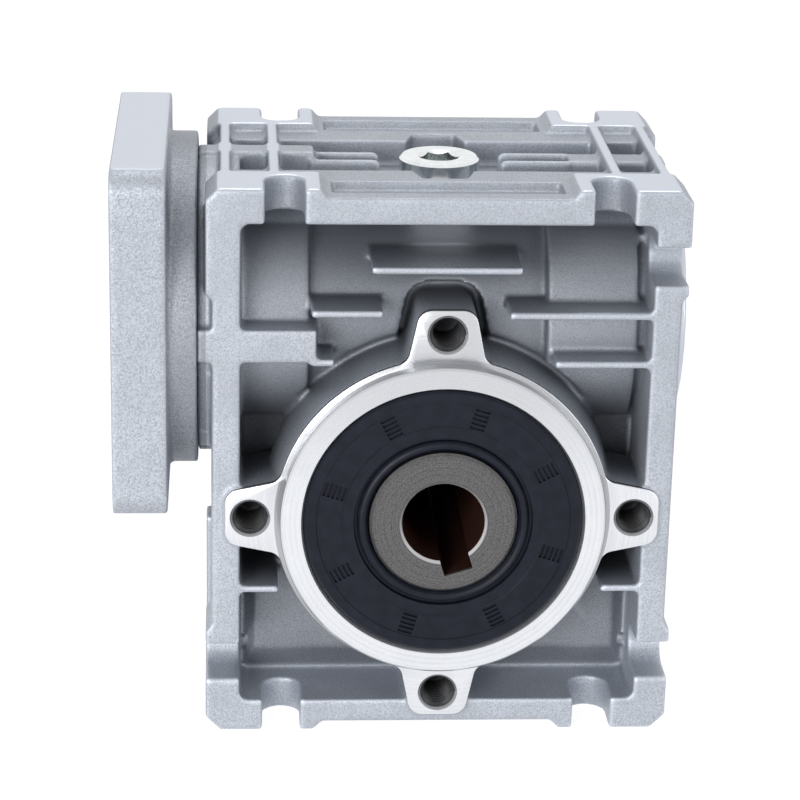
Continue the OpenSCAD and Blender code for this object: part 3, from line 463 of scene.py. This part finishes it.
def blasted_aluminium(name, settings, top_z, coarse=1.0):
    """Shot-blasted die casting: fine pits, bright specks, rubbed edges with a painted highlight, painted
    shade in the pockets, beside the flange, in the ear holes and towards the top, and smoother milled pads
    """
    finish = Finish(name)
    grain = settings.grain * coarse
    pits = finish.noise(grain, detail=3.0, roughness=0.65)
    broad = finish.noise(9 * MM)
    specks = finish.spread(finish.cells(grain * 0.9), 0.05, 0.32, 1.0, 0.0)
    milled = finish.on_milled_pads(top_z)
    pockets = finish.in_pockets()
    unmilled = finish.math("SUBTRACT", 1.0, milled)
    tone = finish.mix(finish.spread(broad, 0.35, 0.65), shaded(settings.colour, 0.93),
                      shaded(settings.colour, 1.05))
    tone = finish.mix(finish.spread(pits, 0.34, 0.6), shaded(settings.colour, 0.66), tone)
    tone = finish.mix(finish.math("MULTIPLY", specks, 0.65), tone, shaded(settings.colour, 1.8))
    # Edges lightened: rubbed wear with a painted highlight
    tone = finish.mix(finish.math("MULTIPLY", finish.worn_and_highlit_edges(), 0.6), tone, shaded(settings.colour, 1.6))
    # Painted shade: the pockets between the frame bars made darker
    tone = finish.mix(finish.math("MULTIPLY", pockets, 0.8), tone, SHADE)
    # Painted shadow: the level faces in the pockets, under the bars, made darker still
    shaded_shelves = finish.math("MULTIPLY", pockets, finish.facing_up())
    tone = finish.mix(finish.math("MULTIPLY", shaded_shelves, 0.5), tone, DEEP_SHADE)
    # Painted shade on the flange's boss and on the housing's side beside it
    tone = finish.mix(finish.math("MULTIPLY", finish.beside_flange(), 0.4), tone, SHADE)
    # Painted shade: the casting made darker towards the top
    upper = finish.spread(finish.axis("Z"), -20 * MM, 55 * MM, 0.0, 0.3)
    tone = finish.mix(upper, tone, shaded(settings.colour, 0.55))
    tone = finish.mix(milled, tone, shaded(settings.colour, 1.3))
    # Painted shade inside the ear holes
    tone = finish.mix(finish.near_ear_holes(REAR_HOLE_R + 0.2 * MM), tone, HOLE_SHADE)
    finish.surface(Base_Color=tone, Metallic=0.55,
                   Roughness=finish.math("SUBTRACT", finish.spread(pits, 0.3, 0.7, 0.58, 0.44),
                                         finish.math("MULTIPLY", milled, 0.12)))
    finish.bump(pits, 0.10 * MM * coarse, finish.math("MULTIPLY", unmilled, 0.55))
    finish.bump(broad, 0.12 * MM, 0.35)
    return finish.material


def turned_aluminium(name, settings):
    """Freshly turned aluminium with fine rings about the output axis, and painted shade on the step, the
    ring's outer side, the upper part, the plate's sides and round the ear holes
    """
    finish = Finish(name)
    radius = finish.radius_about_y()
    feed = 0.22 * MM
    rings = finish.math("SINE", finish.math("MULTIPLY", radius, 2 * math.pi / feed))
    wear = finish.noise(4 * MM)
    cut = finish.bands(0.45 * MM)
    tone = finish.mix(finish.spread(wear, 0.3, 0.7), shaded(settings.colour, 0.93), settings.colour)
    tone = finish.mix(finish.spread(cut, 0.35, 0.65, 0.8, 0.0), tone, shaded(settings.colour, 1.12))
    outside = finish.spread(radius, RING_R - 0.15 * MM, RING_R - 0.05 * MM)
    out = finish.math("ABSOLUTE", finish.axis("Y"))
    above = finish.spread(out, EAR_FACE + 0.1 * MM, EAR_FACE + 0.3 * MM)
    below = finish.spread(out, EAR_FACE - 0.3 * MM, EAR_FACE - 0.1 * MM, 1.0, 0.0)
    upper = finish.spread(finish.axis("Z"), 0.0, RING_R, 0.0, 0.65)
    # Painted shade: the step between the ring and the drum made darker
    step = finish.math("MULTIPLY", outside, finish.spread(radius, DRUM_R, DRUM_R + 0.1 * MM, 1.0, 0.0))
    tone = finish.mix(finish.math("MULTIPLY", step, 0.8), tone, shaded(settings.colour, 0.5))
    # Painted shade on the ring's outer side
    tone = finish.mix(finish.math("MULTIPLY", outside, above), tone, shaded(settings.colour, 0.35))
    # Painted shade and reflection: the turned face made darker towards the top
    tone = finish.mix(upper, tone, shaded(settings.colour, 0.68))
    # Painted shade: the sides behind the machined face made nearly black
    tone = finish.mix(below, tone, shaded(settings.colour, 0.16))
    # Painted shade round the ear holes
    tone = finish.mix(finish.near_ear_holes(REAR_HOLE_R + 0.15 * MM), tone, shaded(settings.colour, 0.45))
    # Painted shade: the shaded sides get no metal and no specular, so that they show no reflection
    turned = finish.math("SUBTRACT", 1.0, below)
    finish.surface(Base_Color=tone, Metallic=finish.math("MULTIPLY", turned, 0.85),
                   Roughness=finish.spread(cut, 0.3, 0.7, 0.24, 0.36),
                   Specular_IOR_Level=finish.math("MULTIPLY", turned, 0.5))
    finish.bump(rings, 0.004 * MM, 0.6)
    return finish.material


def tapped_aluminium(name, settings):
    """Tapped aluminium of the threads, painted dark for the shade inside the holes"""
    finish = Finish(name)
    thread_mottle = finish.noise(0.6 * MM, detail=3.0)
    # Painted shade: the threads kept nearly black
    tone = finish.mix(thread_mottle, shaded(settings.colour, 0.03), shaded(settings.colour, 0.09))
    finish.surface(Base_Color=tone, Metallic=0.6, Roughness=0.4, Specular_IOR_Level=0.3)
    finish.bump(thread_mottle, 0.02 * MM, 0.4)
    return finish.material


def hub_steel(name, settings):
    """Turned steel with a painted highlight on the bore's chamfer, and an oily film with painted shade inside
    the bore
    """
    finish = Finish(name)
    radius = finish.radius_about_y()
    cut = finish.bands(0.3 * MM)
    mottle = finish.noise(0.22 * MM, detail=4.0, roughness=0.7)
    tone = finish.mix(finish.spread(mottle, 0.35, 0.65), shaded(settings.steel, 0.62),
                      shaded(settings.steel, 1.55))
    tone = finish.mix(finish.spread(cut, 0.4, 0.7, 0.0, 0.45), tone, shaded(settings.steel, 2.2))
    in_bore = finish.spread(radius, KEY_REACH, KEY_REACH + 0.1 * MM, 1.0, 0.0)
    depth = finish.math("ABSOLUTE", finish.axis("Y"))
    inside = finish.spread(depth, HUB_HIGH.y - 0.7 * MM, HUB_HIGH.y - 0.45 * MM, 1.0, 0.0)
    oiled_and_shaded = finish.math("MULTIPLY", in_bore, inside)
    in_key = finish.spread(radius, BORE_R + 0.1 * MM, BORE_R + 0.3 * MM)
    oil_and_shade = finish.mix(in_key, settings.oil_and_shade, shaded(settings.oil_and_shade, 1.2))
    # Painted highlight: the bore's chamfer made bright
    chamfer = finish.spread(radius, BORE_R + 0.35 * MM, BORE_R + 0.5 * MM, 1.0, 0.0)
    tone = finish.mix(chamfer, tone, shaded(settings.steel, 5.5))
    # Oily film and painted shade: the bore made dark brown, and below it gets no metal and no specular
    tone = finish.mix(oiled_and_shaded, tone, oil_and_shade)
    bare = finish.math("SUBTRACT", 1.0, oiled_and_shaded)
    finish.surface(Base_Color=tone, Metallic=finish.math("MULTIPLY", bare, 0.9),
                   Roughness=finish.spread(mottle, 0.3, 0.7, 0.45, 0.36),
                   Specular_IOR_Level=finish.math("MULTIPLY", bare, 0.3))
    finish.bump(cut, 0.02 * MM, 0.5)
    finish.bump(mottle, 0.015 * MM, 0.4)
    return finish.material


def ground_steel(name, colour, roughness=0.22):
    """Ground or polished steel with light scratches"""
    finish = Finish(name)
    scratches = finish.noise(0.4 * MM, detail=4.0, stretch=(1, 1, 6))
    tone = finish.mix(scratches, shaded(colour, 0.85), shaded(colour, 1.1))
    finish.surface(Base_Color=tone, Metallic=1.0,
                   Roughness=finish.spread(scratches, 0.3, 0.7, roughness, roughness + 0.1))
    finish.bump(scratches, 0.004 * MM, 0.5)
    return finish.material


def black_oxide(name):
    """Blackened steel of the screws and snap rings"""
    finish = Finish(name)
    mottle = finish.noise(0.7 * MM, detail=3.0)
    finish.surface(Base_Color=finish.mix(mottle, (0.03, 0.03, 0.034), (0.07, 0.07, 0.075)), Metallic=0.7,
                   Roughness=finish.spread(mottle, 0.3, 0.7, 0.35, 0.5))
    finish.bump(mottle, 0.01 * MM, 0.5)
    return finish.material


def moulded_rubber(name, settings):
    """Satin black seal rubber with a bluish sheen"""
    finish = Finish(name)
    haze = finish.noise(2.2 * MM, detail=3.0)
    fine = finish.noise(0.25 * MM)
    tone = finish.mix(finish.spread(haze, 0.3, 0.7), shaded(settings.rubber, 0.85),
                      shaded(settings.rubber, 1.3))
    finish.surface(Base_Color=tone, Metallic=0.0, Specular_IOR_Level=0.2,
                   Roughness=finish.spread(haze, 0.3, 0.7, 0.38, 0.48))
    finish.bump(fine, 0.012 * MM, 0.5)
    return finish.material


def zinc_plate(name, settings):
    """Bright zinc plating with a faint bluish cast"""
    finish = Finish(name)
    cloud = finish.noise(1.6 * MM, detail=3.0)
    tone = finish.mix(finish.spread(cloud, 0.3, 0.7), shaded(settings.zinc, 0.9), settings.zinc)
    finish.surface(Base_Color=tone, Metallic=1.0, Roughness=finish.spread(cloud, 0.3, 0.7, 0.14, 0.24))
    finish.bump(cloud, 0.01 * MM, 0.4)
    return finish.material


def cast_bronze(name, settings):
    """Cut bronze of the worm wheel"""
    finish = Finish(name)
    cloud = finish.noise(1.8 * MM, detail=4.0)
    tone = finish.mix(cloud, shaded(settings.bronze, 0.8), shaded(settings.bronze, 1.15))
    finish.surface(Base_Color=tone, Metallic=0.95, Roughness=finish.spread(cloud, 0.3, 0.7, 0.25, 0.4))
    finish.bump(cloud, 0.008 * MM, 0.5)
    return finish.material


# Mesh helpers


def add_object(name, mesh):
    """Links a mesh into the scene under a name"""
    piece = bpy.data.objects.new(name, mesh)
    bpy.context.scene.collection.objects.link(piece)
    return piece


def baked(piece):
    """Applies all modifiers of a piece"""
    graph = bpy.context.evaluated_depsgraph_get()
    mesh = bpy.data.meshes.new_from_object(piece.evaluated_get(graph))
    old = piece.data
    piece.modifiers.clear()
    piece.data = mesh
    bpy.data.meshes.remove(old)
    return piece


def paint(piece, *materials):
    """Gives a piece its finishes, in slot order"""
    piece.data.materials.clear()
    for material in materials:
        piece.data.materials.append(material)


def smooth(piece):
    """Shades a piece smooth and keeps its flat faces flat"""
    piece.data.shade_smooth()
    weights = piece.modifiers.new("Flat faces", "WEIGHTED_NORMAL")
    weights.keep_sharp = True
    weights.weight = 80


def block_mesh(low, high):
    """A plain block, used as a cutter"""
    bm = bmesh.new()
    bmesh.ops.create_cube(bm, size=1.0)
    centre, size = (Vector(low) + Vector(high)) / 2, Vector(high) - Vector(low)
    for v in bm.verts:
        v.co = Vector(c * s for c, s in zip(v.co, size)) + centre
    mesh = bpy.data.meshes.new("cutter")
    bm.to_mesh(mesh)
    bm.free()
    return mesh


def casting_from(node, name, settings, cuts=()):
    """A casting with rounded edges, made from a CAD node less some blocks"""
    mesh = frame["nodes"][node].data.copy()
    piece = add_object(name, mesh)
    cutters = [add_object("cutter", block_mesh(low, high)) for low, high in cuts]
    for cutter in cutters:
        trim = piece.modifiers.new("Trim", "BOOLEAN")
        trim.operation = "DIFFERENCE"
        trim.solver = "EXACT"
        trim.object = cutter
    grid = piece.modifiers.new("Grid", "REMESH")
    grid.mode = "VOXEL"
    grid.voxel_size = settings.grid
    rounding = piece.modifiers.new("Rounding", "SMOOTH")
    rounding.factor = 0.5
    rounding.iterations = settings.rounding
    fewer = piece.modifiers.new("Fewer faces", "DECIMATE")
    fewer.ratio = settings.kept_faces
    baked(piece)
    for cutter in cutters:
        bpy.data.objects.remove(cutter)
    return piece


def arc(centre, radius, start, end, steps):
    """Points of an arc between two angles in degrees"""
    angles = [math.radians(start + (end - start) * step / steps) for step in range(steps + 1)]
    return [(centre[0] + radius * math.cos(t), centre[1] + radius * math.sin(t)) for t in angles]


def ear_outline():
    """Points of an ear that points up, from its right root over the tip to its left root"""
    corner, fillet, half, taper = 2.6 * MM, 2.4 * MM, 5.5 * MM, 0.22
    side = math.hypot(1, taper)
    reach = half + taper * EAR_CIRCLE_R + fillet * side
    far = DRUM_R + fillet
    z = (reach * taper + math.sqrt((reach * taper) ** 2 - side ** 2 * (reach ** 2 - far ** 2))) / side ** 2
    x = reach - taper * z
    slope = math.degrees(math.atan(taper))
    tip_x = half - taper * (EAR_TIP - corner - EAR_CIRCLE_R) - corner
    points = arc((x, z), fillet, math.degrees(math.atan2(-z, -x)), slope - 180, 8)
    points += arc((tip_x, EAR_TIP - corner), corner, slope, 90, 8)
    return points + [(-x, z) for x, z in reversed(points)]


def ring_with_ears(name, settings, hole_r):
    """A machined face: flat ears round the place of the centring ring, with broken edges"""
    thickness, sink, sink_depth, past = 1.2 * MM, 1.4 * MM, 0.4 * MM, 1 * MM
    arc_steps = 32
    inner_r = SEAL_R + 0.55 * MM
    ear = ear_outline()
    root = math.degrees(math.atan2(ear[0][0], ear[0][1]))
    outline = []
    for quarter in range(4):
        turn = math.radians(90 * quarter)
        for x, z in reversed(ear):
            outline.append((x * math.cos(turn) + z * math.sin(turn), z * math.cos(turn) - x * math.sin(turn)))
        for step in range(1, arc_steps):
            angle = turn + math.radians(root + (90 - 2 * root) * step / arc_steps)
            outline.append((DRUM_R * math.sin(angle), DRUM_R * math.cos(angle)))
    bm = bmesh.new()
    rim = [bm.verts.new((x, -EAR_FACE, z)) for x, z in outline]
    plate = bm.faces.new(rim)
    back = bmesh.ops.extrude_face_region(bm, geom=[plate])["geom"]
    back_verts = [item for item in back if isinstance(item, bmesh.types.BMVert)]
    bmesh.ops.translate(bm, vec=(0, thickness, 0), verts=back_verts)
    bmesh.ops.recalc_face_normals(bm, faces=bm.faces)
    mesh = bpy.data.meshes.new(name)
    bm.to_mesh(mesh)
    bm.free()
    piece = add_object(name, mesh)

    before_face = -EAR_FACE - 5 * MM
    opening = lathe_mesh([(0.0, before_face), (inner_r, before_face), (inner_r, 0.0), (0.0, 0.0)], 160)
    cutters = [add_object("cutter", opening)]
    for quarter in range(4):
        turn = math.radians(90 * quarter)
        hole = lathe_mesh([(0.0, -EAR_FACE - past), (hole_r + sink, -EAR_FACE - past),
                           (hole_r, -EAR_FACE + sink_depth), (hole_r, 0.0), (0.0, 0.0)], 48)
        hole.transform(Matrix.Translation((EAR_CIRCLE_R * math.sin(turn), 0, EAR_CIRCLE_R * math.cos(turn))))
        cutters.append(add_object("cutter", hole))
    for cutter in cutters:
        drill = piece.modifiers.new("Drill", "BOOLEAN")
        drill.operation = "DIFFERENCE"
        drill.solver = "EXACT"
        drill.object = cutter
    edge = piece.modifiers.new("Edge", "BEVEL")
    edge.width = settings.edge
    edge.segments = 2
    edge.limit_method = "ANGLE"
    edge.angle_limit = math.radians(50)
    baked(piece)
    for cutter in cutters:
        bpy.data.objects.remove(cutter)
    return piece


def lathe_mesh(profile, steps):
    """A solid turned about the output axis from (radius, y) points"""
    bm = bmesh.new()
    rows = []
    for radius, y in profile:
        if radius == 0.0:
            rows.append([bm.verts.new((0, y, 0))])
            continue
        row = []
        for step in range(steps):
            angle = 2 * math.pi * step / steps
            row.append(bm.verts.new((radius * math.cos(angle), y, radius * math.sin(angle))))
        rows.append(row)
    for first, second in zip(rows, rows[1:] + rows[:1]):
        for step in range(steps):
            after = (step + 1) % steps
            corners = [first[step % len(first)], first[after % len(first)],
                       second[after % len(second)], second[step % len(second)]]
            corners = list(dict.fromkeys(corners))
            if len(corners) > 2:
                bm.faces.new(corners)
    bmesh.ops.recalc_face_normals(bm, faces=bm.faces)
    mesh = bpy.data.meshes.new("turned")
    bm.to_mesh(mesh)
    bm.free()
    return mesh


def thread_mesh(radius, pitch, length):
    """A helical thread inside a hole about the Y axis that opens at Y = 0 and runs to +Y"""
    depth, root_half, crest_half = 0.54 * pitch, 0.44 * pitch, 0.08 * pitch
    start = 0.55 * pitch
    play = 0.02 * MM
    steps = 28
    turns = length / pitch
    profile = [(radius - play, -root_half), (radius - depth, -crest_half),
               (radius - depth, crest_half), (radius - play, root_half)]
    bm = bmesh.new()
    rows = []
    count = int(steps * turns)
    for step in range(count + 1):
        angle = 2 * math.pi * step / steps
        fade = min(1.0, step / steps * 2, (count - step) / steps * 2)
        row = []
        for r, rise in profile:
            r = radius - (radius - r) * fade - play
            y = start + pitch * step / steps + rise
            row.append(bm.verts.new((r * math.cos(angle), y, r * math.sin(angle))))
        rows.append(row)
    for first, second in zip(rows, rows[1:]):
        for k in range(len(profile) - 1):
            bm.faces.new((first[k], first[k + 1], second[k + 1], second[k]))
        bm.faces.new((first[-1], first[0], second[0], second[-1]))
    bm.faces.new(rows[0])
    bm.faces.new(rows[-1])
    bmesh.ops.recalc_face_normals(bm, faces=bm.faces)
    mesh = bpy.data.meshes.new("thread")
    bm.to_mesh(mesh)
    bm.free()
    return mesh


# Operators: one for each piece or group of like pieces


class REDUCER_OT_castings(bpy.types.Operator):
    """Makes the housing, the rear cover and the motor flange as blasted castings"""

    bl_idname = "reducer.castings"
    bl_label = "Castings"

    def execute(self, context):
        settings = context.scene.reducer_casting
        skin = blasted_aluminium("Blasted casting", settings, TOP_Z)
        coarse_skin = blasted_aluminium("Blasted flange", settings, FLANGE_TOP_Z, coarse=1.5)
        face = -EAR_FACE + 0.4 * MM
        front = casting_from(
            "housing", "housing_casting", settings,
            cuts=[(OUTER_LOW, (OUTER_HIGH[0], face, OUTER_HIGH[2]))])
        paint(front, skin)
        smooth(front)
        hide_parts("housing")
        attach(front, "gearbox")

        rear = casting_from(
            "output_cover", "cover_casting", settings,
            cuts=[((OUTER_LOW[0], -face, OUTER_LOW[2]), OUTER_HIGH)])
        paint(rear, skin)
        smooth(rear)
        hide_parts("output_cover")
        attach(rear, "gearbox")

        flange = casting_from("input_flange", "motor_flange", settings)
        paint(flange, coarse_skin)
        smooth(flange)
        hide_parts("input_flange")
        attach(flange, "gearbox")
        return {"FINISHED"}


class REDUCER_OT_machined_faces(bpy.types.Operator):
    """Makes the machined rings with their ears, front and rear"""

    bl_idname = "reducer.machined_faces"
    bl_label = "Machined faces"

    def execute(self, context):
        settings = context.scene.reducer_machined
        metal = turned_aluminium("Turned aluminium", settings)
        ring_profile = [(SEAL_R + 0.02 * MM, HUB_LOW.y + 1.0 * MM), (SEAL_R + 0.5 * MM, HUB_LOW.y),
                        (RING_R - 0.4 * MM, HUB_LOW.y), (RING_R, HUB_LOW.y + 0.4 * MM),
                        (RING_R, -EAR_FACE + 0.3 * MM), (SEAL_R + 0.02 * MM, -EAR_FACE + 0.3 * MM)]
        for side, turn, hole_r in (("front", 0.0, EAR_HOLE_R), ("rear", math.pi, REAR_HOLE_R)):
            plate = ring_with_ears(side + "_ears", settings, hole_r)
            ring = add_object(side + "_ring", lathe_mesh(ring_profile, 192))
            for piece in (plate, ring):
                piece.data.transform(Matrix.Rotation(turn, 4, "Z"))
                paint(piece, metal)
                piece.data.shade_smooth()
                piece.data.set_sharp_from_angle(angle=math.radians(25))
                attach(piece, "gearbox")
        return {"FINISHED"}


class REDUCER_OT_threads(bpy.types.Operator):
    """Winds a thread into each hole of the front ears"""

    bl_idname = "reducer.threads"
    bl_label = "Threads"

    def execute(self, context):
        settings = context.scene.reducer_machined
        metal = tapped_aluminium("Thread flanks", settings)
        for quarter in range(4):
            angle = math.radians(90 * quarter)
            mesh = thread_mesh(EAR_HOLE_R, settings.thread_pitch, settings.thread_depth)
            mesh.transform(Matrix.Translation((EAR_CIRCLE_R * math.sin(angle), -EAR_FACE,
                                               EAR_CIRCLE_R * math.cos(angle))))
            piece = add_object(f"front_thread_{quarter + 1}", mesh)
            paint(piece, metal)
            piece.data.shade_smooth()
            piece.data.set_sharp_from_angle(angle=math.radians(30))
            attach(piece, "gearbox")
        return {"FINISHED"}


class REDUCER_OT_shafts(bpy.types.Operator):
    """Finishes the output shaft, the worm and the wheel"""

    bl_idname = "reducer.shafts"
    bl_label = "Shafts and wheel"

    def execute(self, context):
        settings = context.scene.reducer_shaft
        nodes = frame["nodes"]
        paint(nodes["output_hub"], hub_steel("Hub steel", settings))
        paint(nodes["worm_shaft"], ground_steel("Worm steel", (0.42, 0.42, 0.44)))
        paint(nodes["worm_wheel"], cast_bronze("Wheel bronze", settings))
        return {"FINISHED"}


class REDUCER_OT_seals(bpy.types.Operator):
    """Finishes the seals, the o-ring and the end cap"""

    bl_idname = "reducer.seals"
    bl_label = "Seals"

    def execute(self, context):
        rubber = moulded_rubber("Seal rubber", context.scene.reducer_shaft)
        for node in ("front_output_seal", "rear_output_seal", "input_seal", "cover_o_ring", "worm_end_cap"):
            paint(frame["nodes"][node], rubber)
        wire = ground_steel("Spring wire", (0.6, 0.6, 0.62))
        for node in ("front_seal_spring", "rear_seal_spring", "input_seal_spring"):
            paint(frame["nodes"][node], wire)
        return {"FINISHED"}


class REDUCER_OT_bearings(bpy.types.Operator):
    """Finishes the four ball bearings"""

    bl_idname = "reducer.bearings"
    bl_label = "Bearings"

    def execute(self, context):
        rings = ground_steel("Bearing rings", (0.64, 0.65, 0.67))
        balls = ground_steel("Bearing balls", (0.8, 0.81, 0.83), roughness=0.08)
        cages = ground_steel("Bearing cages", (0.5, 0.48, 0.43), roughness=0.35)
        for place in ("front", "rear", "input", "end"):
            paint(frame["nodes"][place + "_bearing_outer"], rings)
            paint(frame["nodes"][place + "_bearing_inner"], rings)
            paint(frame["nodes"][place + "_bearing_balls"], balls)
            paint(frame["nodes"][place + "_bearing_cage"], cages)
        return {"FINISHED"}


class REDUCER_OT_fasteners(bpy.types.Operator):
    """Finishes the plug, its washer, the screws and the snap rings"""

    bl_idname = "reducer.fasteners"
    bl_label = "Plug and fasteners"

    def execute(self, context):
        settings = context.scene.reducer_shaft
        nodes = frame["nodes"]
        zinc = zinc_plate("Zinc plate", settings)
        paint(nodes["oil_plug"], zinc)
        paint(nodes["plug_washer"], ground_steel("Washer aluminium", (0.5, 0.51, 0.53), roughness=0.35))
        black = black_oxide("Black oxide")
        for node in ("cover_screws", "flange_screws", "input_circlip", "end_circlip"):
            paint(nodes[node], black)
        return {"FINISHED"}


class REDUCER_OT_stage(bpy.types.Operator):
    """Sets up the floor, the soft lights, the white surroundings and the camera"""

    bl_idname = "reducer.stage"
    bl_label = "Stage"

    def execute(self, context):
        settings = context.scene.reducer_stage
        self.make_floor(settings)
        self.make_world(context.scene, settings)
        self.make_light("Key light", (-0.5, -0.9, 0.12), 0.6, settings.key_power)
        self.make_light("Right fill", (0.75, -0.65, 0.15), 0.5, settings.fill_power)
        self.make_light("Top light", (0.0, 0.25, 0.8), 0.5, settings.fill_power)
        self.make_camera(context.scene, settings)
        return {"FINISHED"}

    def make_floor(self, settings):
        """White paper that keeps the shadow: seven tenths of what is seen of it is its own white"""
        glow, glow_share = 1.3, 0.7
        half = settings.floor_size / 2
        mesh = bpy.data.meshes.new("floor")
        height = FOOT_Z - 0.2 * MM
        corners = [(x * half, y * half, height) for x, y in ((-1, -1), (1, -1), (1, 1), (-1, 1))]
        mesh.from_pydata(corners, [], [(0, 1, 2, 3)])
        floor = add_object("floor", mesh)
        paper = Finish("White paper")
        fibre = paper.noise(30 * MM)
        paper.surface(Base_Color=paper.mix(fibre, (0.93, 0.93, 0.93), (0.96, 0.96, 0.96)), Roughness=0.9)
        tree = paper.material.node_tree
        path = tree.nodes.new("ShaderNodeLightPath")
        white = tree.nodes.new("ShaderNodeEmission")
        white.inputs["Strength"].default_value = glow
        seen = tree.nodes.new("ShaderNodeMixShader")
        output = tree.nodes["Material Output"]
        mirrored = paper.math("MAXIMUM", path.outputs["Is Glossy Ray"], path.outputs["Is Transmission Ray"])
        seen_ray = paper.math("MAXIMUM", path.outputs["Is Camera Ray"], mirrored)
        share = paper.math("MULTIPLY", seen_ray, glow_share)
        tree.links.new(share, seen.inputs["Fac"])
        tree.links.new(paper.shader.outputs["BSDF"], seen.inputs[1])
        tree.links.new(white.outputs["Emission"], seen.inputs[2])
        tree.links.new(seen.outputs["Shader"], output.inputs["Surface"])
        paint(floor, paper.material)

    def make_world(self, scene, settings):
        """Surroundings that look white and light the reducer more softly than that"""
        world = bpy.data.worlds.new("White surroundings")
        world.use_nodes = True
        scene.world = world
        nodes, links = world.node_tree.nodes, world.node_tree.links
        background = nodes["Background"]
        background.inputs["Color"].default_value = (1, 1, 1, 1)
        path = nodes.new("ShaderNodeLightPath")
        seen = path.outputs["Is Camera Ray"]
        for kind in ("Is Glossy Ray", "Is Transmission Ray"):
            either = nodes.new("ShaderNodeMath")
            either.operation = "MAXIMUM"
            links.new(seen, either.inputs[0])
            links.new(path.outputs[kind], either.inputs[1])
            seen = either.outputs[0]
        strength = nodes.new("ShaderNodeMapRange")
        strength.inputs["To Min"].default_value = settings.sky
        strength.inputs["To Max"].default_value = 1.0
        links.new(seen, strength.inputs["Value"])
        links.new(strength.outputs[0], background.inputs["Strength"])

    def make_light(self, name, place, size, power):
        """A round soft light that faces the reducer"""
        lamp = bpy.data.lights.new(name, "AREA")
        lamp.shape = "DISK"
        lamp.size = size
        lamp.energy = power
        light = bpy.data.objects.new(name, lamp)
        bpy.context.scene.collection.objects.link(light)
        light.location = place
        light.rotation_euler = (Vector((0, 0, 0.01)) - Vector(place)).to_track_quat("-Z", "Y").to_euler()

    def make_camera(self, scene, settings):
        """The camera where the photograph was taken from"""
        yaw, pitch, roll = (math.radians(angle) for angle in CAMERA_TURN)
        right = Vector((math.cos(yaw), math.sin(yaw), 0))
        ahead = Vector((-math.sin(yaw), math.cos(yaw), 0))
        view = ahead * math.cos(pitch) - Vector((0, 0, 1)) * math.sin(pitch)
        up = Vector((0, 0, 1)) * math.cos(pitch) + ahead * math.sin(pitch)
        side = right * math.cos(roll) + up * math.sin(roll)
        up = up * math.cos(roll) - right * math.sin(roll)
        data = bpy.data.cameras.new("Camera")
        data.sensor_width = 36.0
        data.lens = settings.focal_length
        data.clip_start = 0.01
        data.clip_end = 20.0
        camera = bpy.data.objects.new("Camera", data)
        scene.collection.objects.link(camera)
        turn = Matrix((side, up, -view)).transposed()
        camera.matrix_world = Matrix.Translation(Vector(settings.camera_place)) @ turn.to_4x4()
        scene.camera = camera
        scene.view_settings.view_transform = "Standard"


OPERATORS = (
    REDUCER_OT_castings,
    REDUCER_OT_machined_faces,
    REDUCER_OT_threads,
    REDUCER_OT_shafts,
    REDUCER_OT_seals,
    REDUCER_OT_bearings,
    REDUCER_OT_fasteners,
    REDUCER_OT_stage,
)


class REDUCER_PT_panel(bpy.types.Panel):
    """Lists the pieces of the reducer and their settings"""

    bl_label = "Worm gear reducer"
    bl_idname = "REDUCER_PT_panel"
    bl_space_type = "VIEW_3D"
    bl_region_type = "UI"
    bl_category = "Reducer"

    def draw(self, context):
        layout = self.layout
        for operator in OPERATORS:
            layout.operator(operator.bl_idname)
        for name in SETTINGS:
            box = layout.box()
            group = getattr(context.scene, name)
            for prop in group.bl_rna.properties:
                if prop.identifier not in ("rna_type", "name"):
                    box.prop(group, prop.identifier)


SETTINGS = {
    "reducer_casting": CastingSettings,
    "reducer_machined": MachinedSettings,
    "reducer_shaft": ShaftSettings,
    "reducer_stage": StageSettings,
}


def register():
    """Registers the settings, the operators and the panel"""
    for name, group in SETTINGS.items():
        bpy.utils.register_class(group)
        setattr(bpy.types.Scene, name, PointerProperty(type=group))
    for operator in OPERATORS:
        bpy.utils.register_class(operator)
    bpy.utils.register_class(REDUCER_PT_panel)


def unregister():
    """Removes them again"""
    bpy.utils.unregister_class(REDUCER_PT_panel)
    for operator in reversed(OPERATORS):
        bpy.utils.unregister_class(operator)
    for name, group in reversed(list(SETTINGS.items())):
        delattr(bpy.types.Scene, name)
        bpy.utils.unregister_class(group)


def main():
    """Builds every piece in order"""
    register()
    for operator in OPERATORS:
        family, name = operator.bl_idname.split(".")
        getattr(getattr(bpy.ops, family), name)()


if __name__ == "__main__":
    main()
